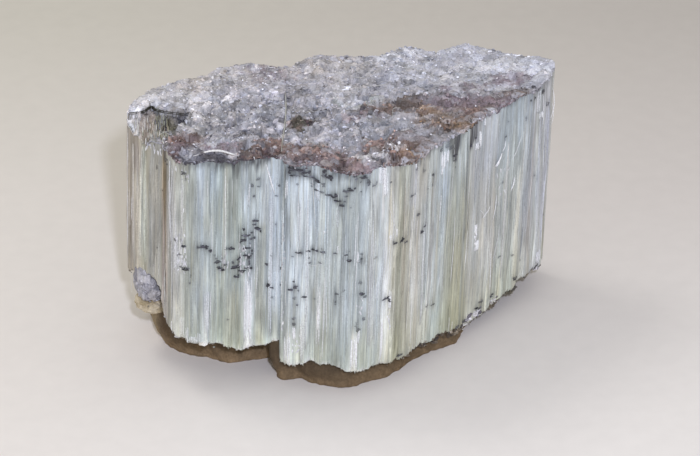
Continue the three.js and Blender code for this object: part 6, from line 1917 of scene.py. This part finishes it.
def build_rim_details():
    """The pale lip, the long hair with its painted shadow, the dark painted shadow line along the back of the scar, the
    strands laid bare on the scar and short hairs on the upper wall.
    """
    rng = np.random.default_rng(641)
    K = 15
    lines, radius, tint = [], [], []
    # pale strand along the rim, arching over the fibres
    for off, r, k in ((0.0, 0.15, 1.0), (0.28, 0.11, 0.8), (-0.24, 0.09, 0.6)):
        t = np.linspace(0, 1, K)
        s = 22.4 + 8.0 * t
        p, n = at_outline(s)
        inward = 0.9 + 1.1 * np.sin(math.pi * t) + off
        xy = p - n * inward[:, None]
        z = crust_height(xy[:, 0], xy[:, 1]) * 0 + wall_base(xy[:, 0], xy[:, 1], np.full(K, 2.0)) + 0.18 + 0.30 * np.sin(math.pi * t)
        lines.append(np.concatenate([xy, z[:, None]], 1))
        radius.append(r)
        tint.append(mix(np.array([0.45, 0.44, 0.42]), np.array([0.92, 0.92, 0.92]), k))
    # the long thin hair from the wall down into the crack
    t = np.linspace(0, 1, K)
    xy = np.stack([-10.35 + 0.25 * np.sin(t * 5), 6.5 - 24.0 * t], 1)
    z = wall_base(xy[:, 0], xy[:, 1], np.full(K, 4.0)) + 0.85
    lines.append(np.concatenate([xy, z[:, None]], 1))
    radius.append(0.10)
    tint.append(np.array([0.66, 0.67, 0.60]))
    # a thin dark thread just beside and below the hair: its painted shadow
    lines.append(np.concatenate([xy + [0.16, 0], z[:, None] - 0.14], 1))
    radius.append(0.05)
    tint.append(np.array([0.26, 0.26, 0.23]))
    # dark threads along the back of the scar, thickest below its peak: painted shadow under the small cliff there
    back = np.array([(-38.9, -1.15)] + SCAR_BACK[2:9])
    for off, drop, r in ((0.10, 0.20, 0.12), (0.26, 0.42, 0.11)):
        for a in range(len(back) - 1):
            q = np.linspace(0, 1, K)[:, None]
            xy = back[a] * (1 - q) + back[a + 1] * q
            xy = xy + 0.07 * np.stack([noise2(xy[:, 0] / 0.3, xy[:, 1] / 0.3, 643), noise2(xy[:, 0] / 0.3, xy[:, 1] / 0.3, 644)], 1)
            peak = math.exp(-((xy[:, 0].mean() + 34.8) / 1.6) ** 2)
            behind = wall_base(xy[:, 0], xy[:, 1] + 0.8, np.full(K, 4.0))
            lines.append(np.stack([xy[:, 0], xy[:, 1] - off - 0.1, behind - drop], 1))
            radius.append(r * (0.75 + 0.8 * peak))
            tint.append(np.array([0.030, 0.028, 0.022]))
    # strands laid bare on the scar, running down to the rim
    rng2 = np.random.default_rng(647)
    shades = {"white": srgb(226, 226, 222), "green": srgb(178, 182, 166), "taupe": srgb(176, 164, 152),
              "olive": srgb(138, 133, 114), "dark": srgb(96, 90, 78)}
    for _ in range(300):
        x0 = rng2.uniform(-39.6, -31.4)
        y0 = rng2.uniform(-11.5, -1.2)
        L = rng2.uniform(0.9, 2.8)
        xy = np.stack([x0 + 0.07 * L * t + rng2.normal(0, 0.03) * np.sin(t * 3), y0 - L * t], 1)
        if scar(xy[:, 0], xy[:, 1]).min() < 0.25 or not inside(RIM_XY[::3], xy[-1:, 0], xy[-1:, 1])[0]:
            continue
        if x0 < -36.7:
            names = ["white", "white", "green", "white", "taupe"]
        elif y0 - 0.5 * L < -5.0:
            names = ["taupe", "green", "taupe", "olive", "white"]
        else:
            names = ["taupe", "taupe", "white", "taupe", "white", "olive"] if x0 < -34 else ["green", "olive", "dark", "olive"]
        z = wall_base(xy[:, 0], xy[:, 1], np.full(K, 4.0)) + 0.16
        lines.append(np.concatenate([xy, z[:, None]], 1))
        radius.append(rng2.uniform(0.05, 0.13))
        tint.append(shades[names[rng2.integers(len(names))]] * rng2.uniform(0.85, 1.12))
    # random short hairs on the wall
    for _ in range(60):
        c = np.array([rng.uniform(-34, 36), rng.uniform(-14, 22)])
        if not inside(RIM_XY[::6], c[:1], c[1:])[0]:
            continue
        a = rng.uniform(0, math.pi)
        L = rng.uniform(1.0, 4.0)
        xy = c + np.outer((t - 0.5) * L, [math.cos(a), math.sin(a)])
        xy += np.outer(np.sin(t * 4), rng.normal(0, 0.15, 2))
        z = wall_base(xy[:, 0], xy[:, 1], np.full(K, 4.0)) + 0.45 + 0.15 * np.sin(math.pi * t)
        lines.append(np.concatenate([xy, z[:, None]], 1))
        radius.append(rng.uniform(0.03, 0.06))
        tint.append(np.array([0.66, 0.66, 0.64]) * rng.uniform(0.6, 1.2))
    threads("wall_hairs", np.array(lines), np.array(radius), np.array(tint), np.full(len(lines), 0.5), THREAD, taper=0.7)


build_rim_details()


def build_rim_grains():
    """Grains and flakes along the hanging rim of the upper wall."""
    rng = np.random.default_rng(651)
    n = 1300
    s = np.where(rng.random(n) < 0.66, rng.uniform(0, FRONT_LENGTH, n), rng.uniform(FRONT_LENGTH, PERIMETER, n))
    s = s[(s > 13.0) | (rng.random(n) < 0.2)]
    n = len(s)
    hang = np.interp(s, [a for a, _ in RIM_HANG], [b for _, b in RIM_HANG])
    top = np.interp(s, SIDE_S, SIDE_TOP) + 0.30
    f = rng.uniform(0.0, 1.0, n)
    z = top - 0.1 - np.maximum(hang - 0.35, 0.1) * f
    p, nn = at_outline(s)
    rim_out = np.interp(s, SIDE_S, RIM_OUT)
    pos = np.concatenate([p + nn * (rim_out + rng.normal(-0.08, 0.07, n))[:, None], z[:, None]], 1)
    size = np.clip(0.30 * np.exp(rng.normal(0, 0.36, n)), 0.15, 0.8)
    tone = grain_tone(p[:, 0] - nn[:, 0] * 0.7, p[:, 1] - nn[:, 1] * 0.7, np.arange(n), np.ones(n) * 3, 652, 1.2)
    # painted shade: darker towards the lower edge of the rim
    tone = tone * (1.0 - 0.35 * np.clip(f, 0, 1))[:, None]
    normal = np.concatenate([nn, rng.uniform(-0.2, 0.9, (n, 1))], 1) + rng.normal(0, 0.35, (n, 3))
    normal /= np.linalg.norm(normal, axis=1)[:, None]
    dims = np.stack([size * rng.uniform(1, 1.7, n), size * rng.uniform(0.6, 1.0, n), size * rng.uniform(0.4, 0.8, n)], 1)
    lumps("rim_grains", pos, normal, rng.uniform(0, 6.28, n), dims, tone, rng.uniform(0, 1, n), GRAIN, 653)


build_rim_grains()

# ------------------------------------------------------------------------ stage
def floor_material():
    material, add, link, value, calc, ramp, blend, vec, noise = node_tools("pale_floor")
    out = add("ShaderNodeOutputMaterial")
    bsdf = add("ShaderNodeBsdfPrincipled")
    link(bsdf.outputs[0], out.inputs[0])
    place = add("ShaderNodeTexCoord").outputs["Object"]
    split = add("ShaderNodeSeparateXYZ")
    link(place, split.inputs[0])
    # painted light falloff: paler in front, darker towards the back, and more so on the right
    depth = calc("MULTIPLY_ADD", split.outputs[1], 4.55, 0.273, clamp=True)
    left = ramp(depth, [(0.08, (0.787, 0.748, 0.720)), (0.5, (0.717, 0.680, 0.645)), (0.88, (0.598, 0.572, 0.520))])
    right = ramp(depth, [(0.08, (0.800, 0.770, 0.756)), (0.5, (0.650, 0.613, 0.600)), (0.88, (0.530, 0.500, 0.478))])
    across = calc("MULTIPLY_ADD", split.outputs[0], 7.5, 0.5, clamp=True)
    back = blend("MIX", across, left.outputs[0], right.outputs[0])
    paper = ramp(noise(place, 260.0, 4.0, 0.5), [(0.3, (0.985, 0.985, 0.985)), (0.7, (1.015, 1.015, 1.015))])
    link(blend("MULTIPLY", 1.0, back, paper.outputs[0]), bsdf.inputs["Base Color"])
    bsdf.inputs["Roughness"].default_value = 0.85
    bsdf.inputs["Specular IOR Level"].default_value = 0.15
    return material


def build_floor():
    mesh = bpy.data.meshes.new("floor")
    n, r = 96, 6.0
    ring = [(r * math.cos(2 * math.pi * k / n), r * math.sin(2 * math.pi * k / n), 0.0) for k in range(n)]
    mesh.from_pydata(ring, [], [list(range(n))])
    mesh.materials.append(floor_material())
    floor = bpy.data.objects.new("floor", mesh)
    bpy.context.scene.collection.objects.link(floor)


build_floor()


def area_light(name, place, target, size, power, colour, shape="DISK"):
    data = bpy.data.lights.new(name, "AREA")
    data.shape = shape
    data.size = size
    data.energy = power
    data.color = colour
    obj = bpy.data.objects.new(name, data)
    obj.location = place
    obj.rotation_mode = "QUATERNION"
    obj.rotation_quaternion = (Vector(target) - Vector(place)).to_track_quat("-Z", "Y")
    bpy.context.scene.collection.objects.link(obj)
    return obj


KEY_AZ, KEY_EL, KEY_FAR = math.radians(4.3), math.radians(34.8), 0.65
key_place = (KEY_FAR * math.sin(KEY_AZ) * math.cos(KEY_EL), -KEY_FAR * math.cos(KEY_AZ) * math.cos(KEY_EL), KEY_FAR * math.sin(KEY_EL) + 0.02)
area_light("key", key_place, (0, 0, 0.02), 0.028, 2.25, (0.80, 0.84, 1.0))
area_light("soft", (-0.28, 0.17, 0.57), (0, 0, 0.02), 0.24, 0.74, (1.0, 0.985, 0.95))

world = bpy.data.worlds.new("studio")
world.use_nodes = True
background = world.node_tree.nodes["Background"]
background.inputs[0].default_value = (1.0, 0.97, 0.895, 1)
background.inputs[1].default_value = 0.60
bpy.context.scene.world = world
bpy.context.scene.view_settings.view_transform = "Standard"

# ----------------------------------------------------------------------- camera
camera_data = bpy.data.cameras.new("camera")
camera_data.sensor_width = 36.0
camera_data.lens = 3200.0 / 700.0 * 36.0
camera_data.clip_start = 0.02
camera_data.clip_end = 30.0
camera = bpy.data.objects.new("camera", camera_data)
ELEVATION = math.radians(30.0)
FAR = 0.598
aim = Vector((0.0014, -0.005233, 0.024))
camera.location = aim + Vector((0, -math.cos(ELEVATION) * FAR, math.sin(ELEVATION) * FAR))
camera.rotation_euler = (math.radians(90.0) - ELEVATION, 0, 0)
bpy.context.scene.collection.objects.link(camera)
bpy.context.scene.camera = camera
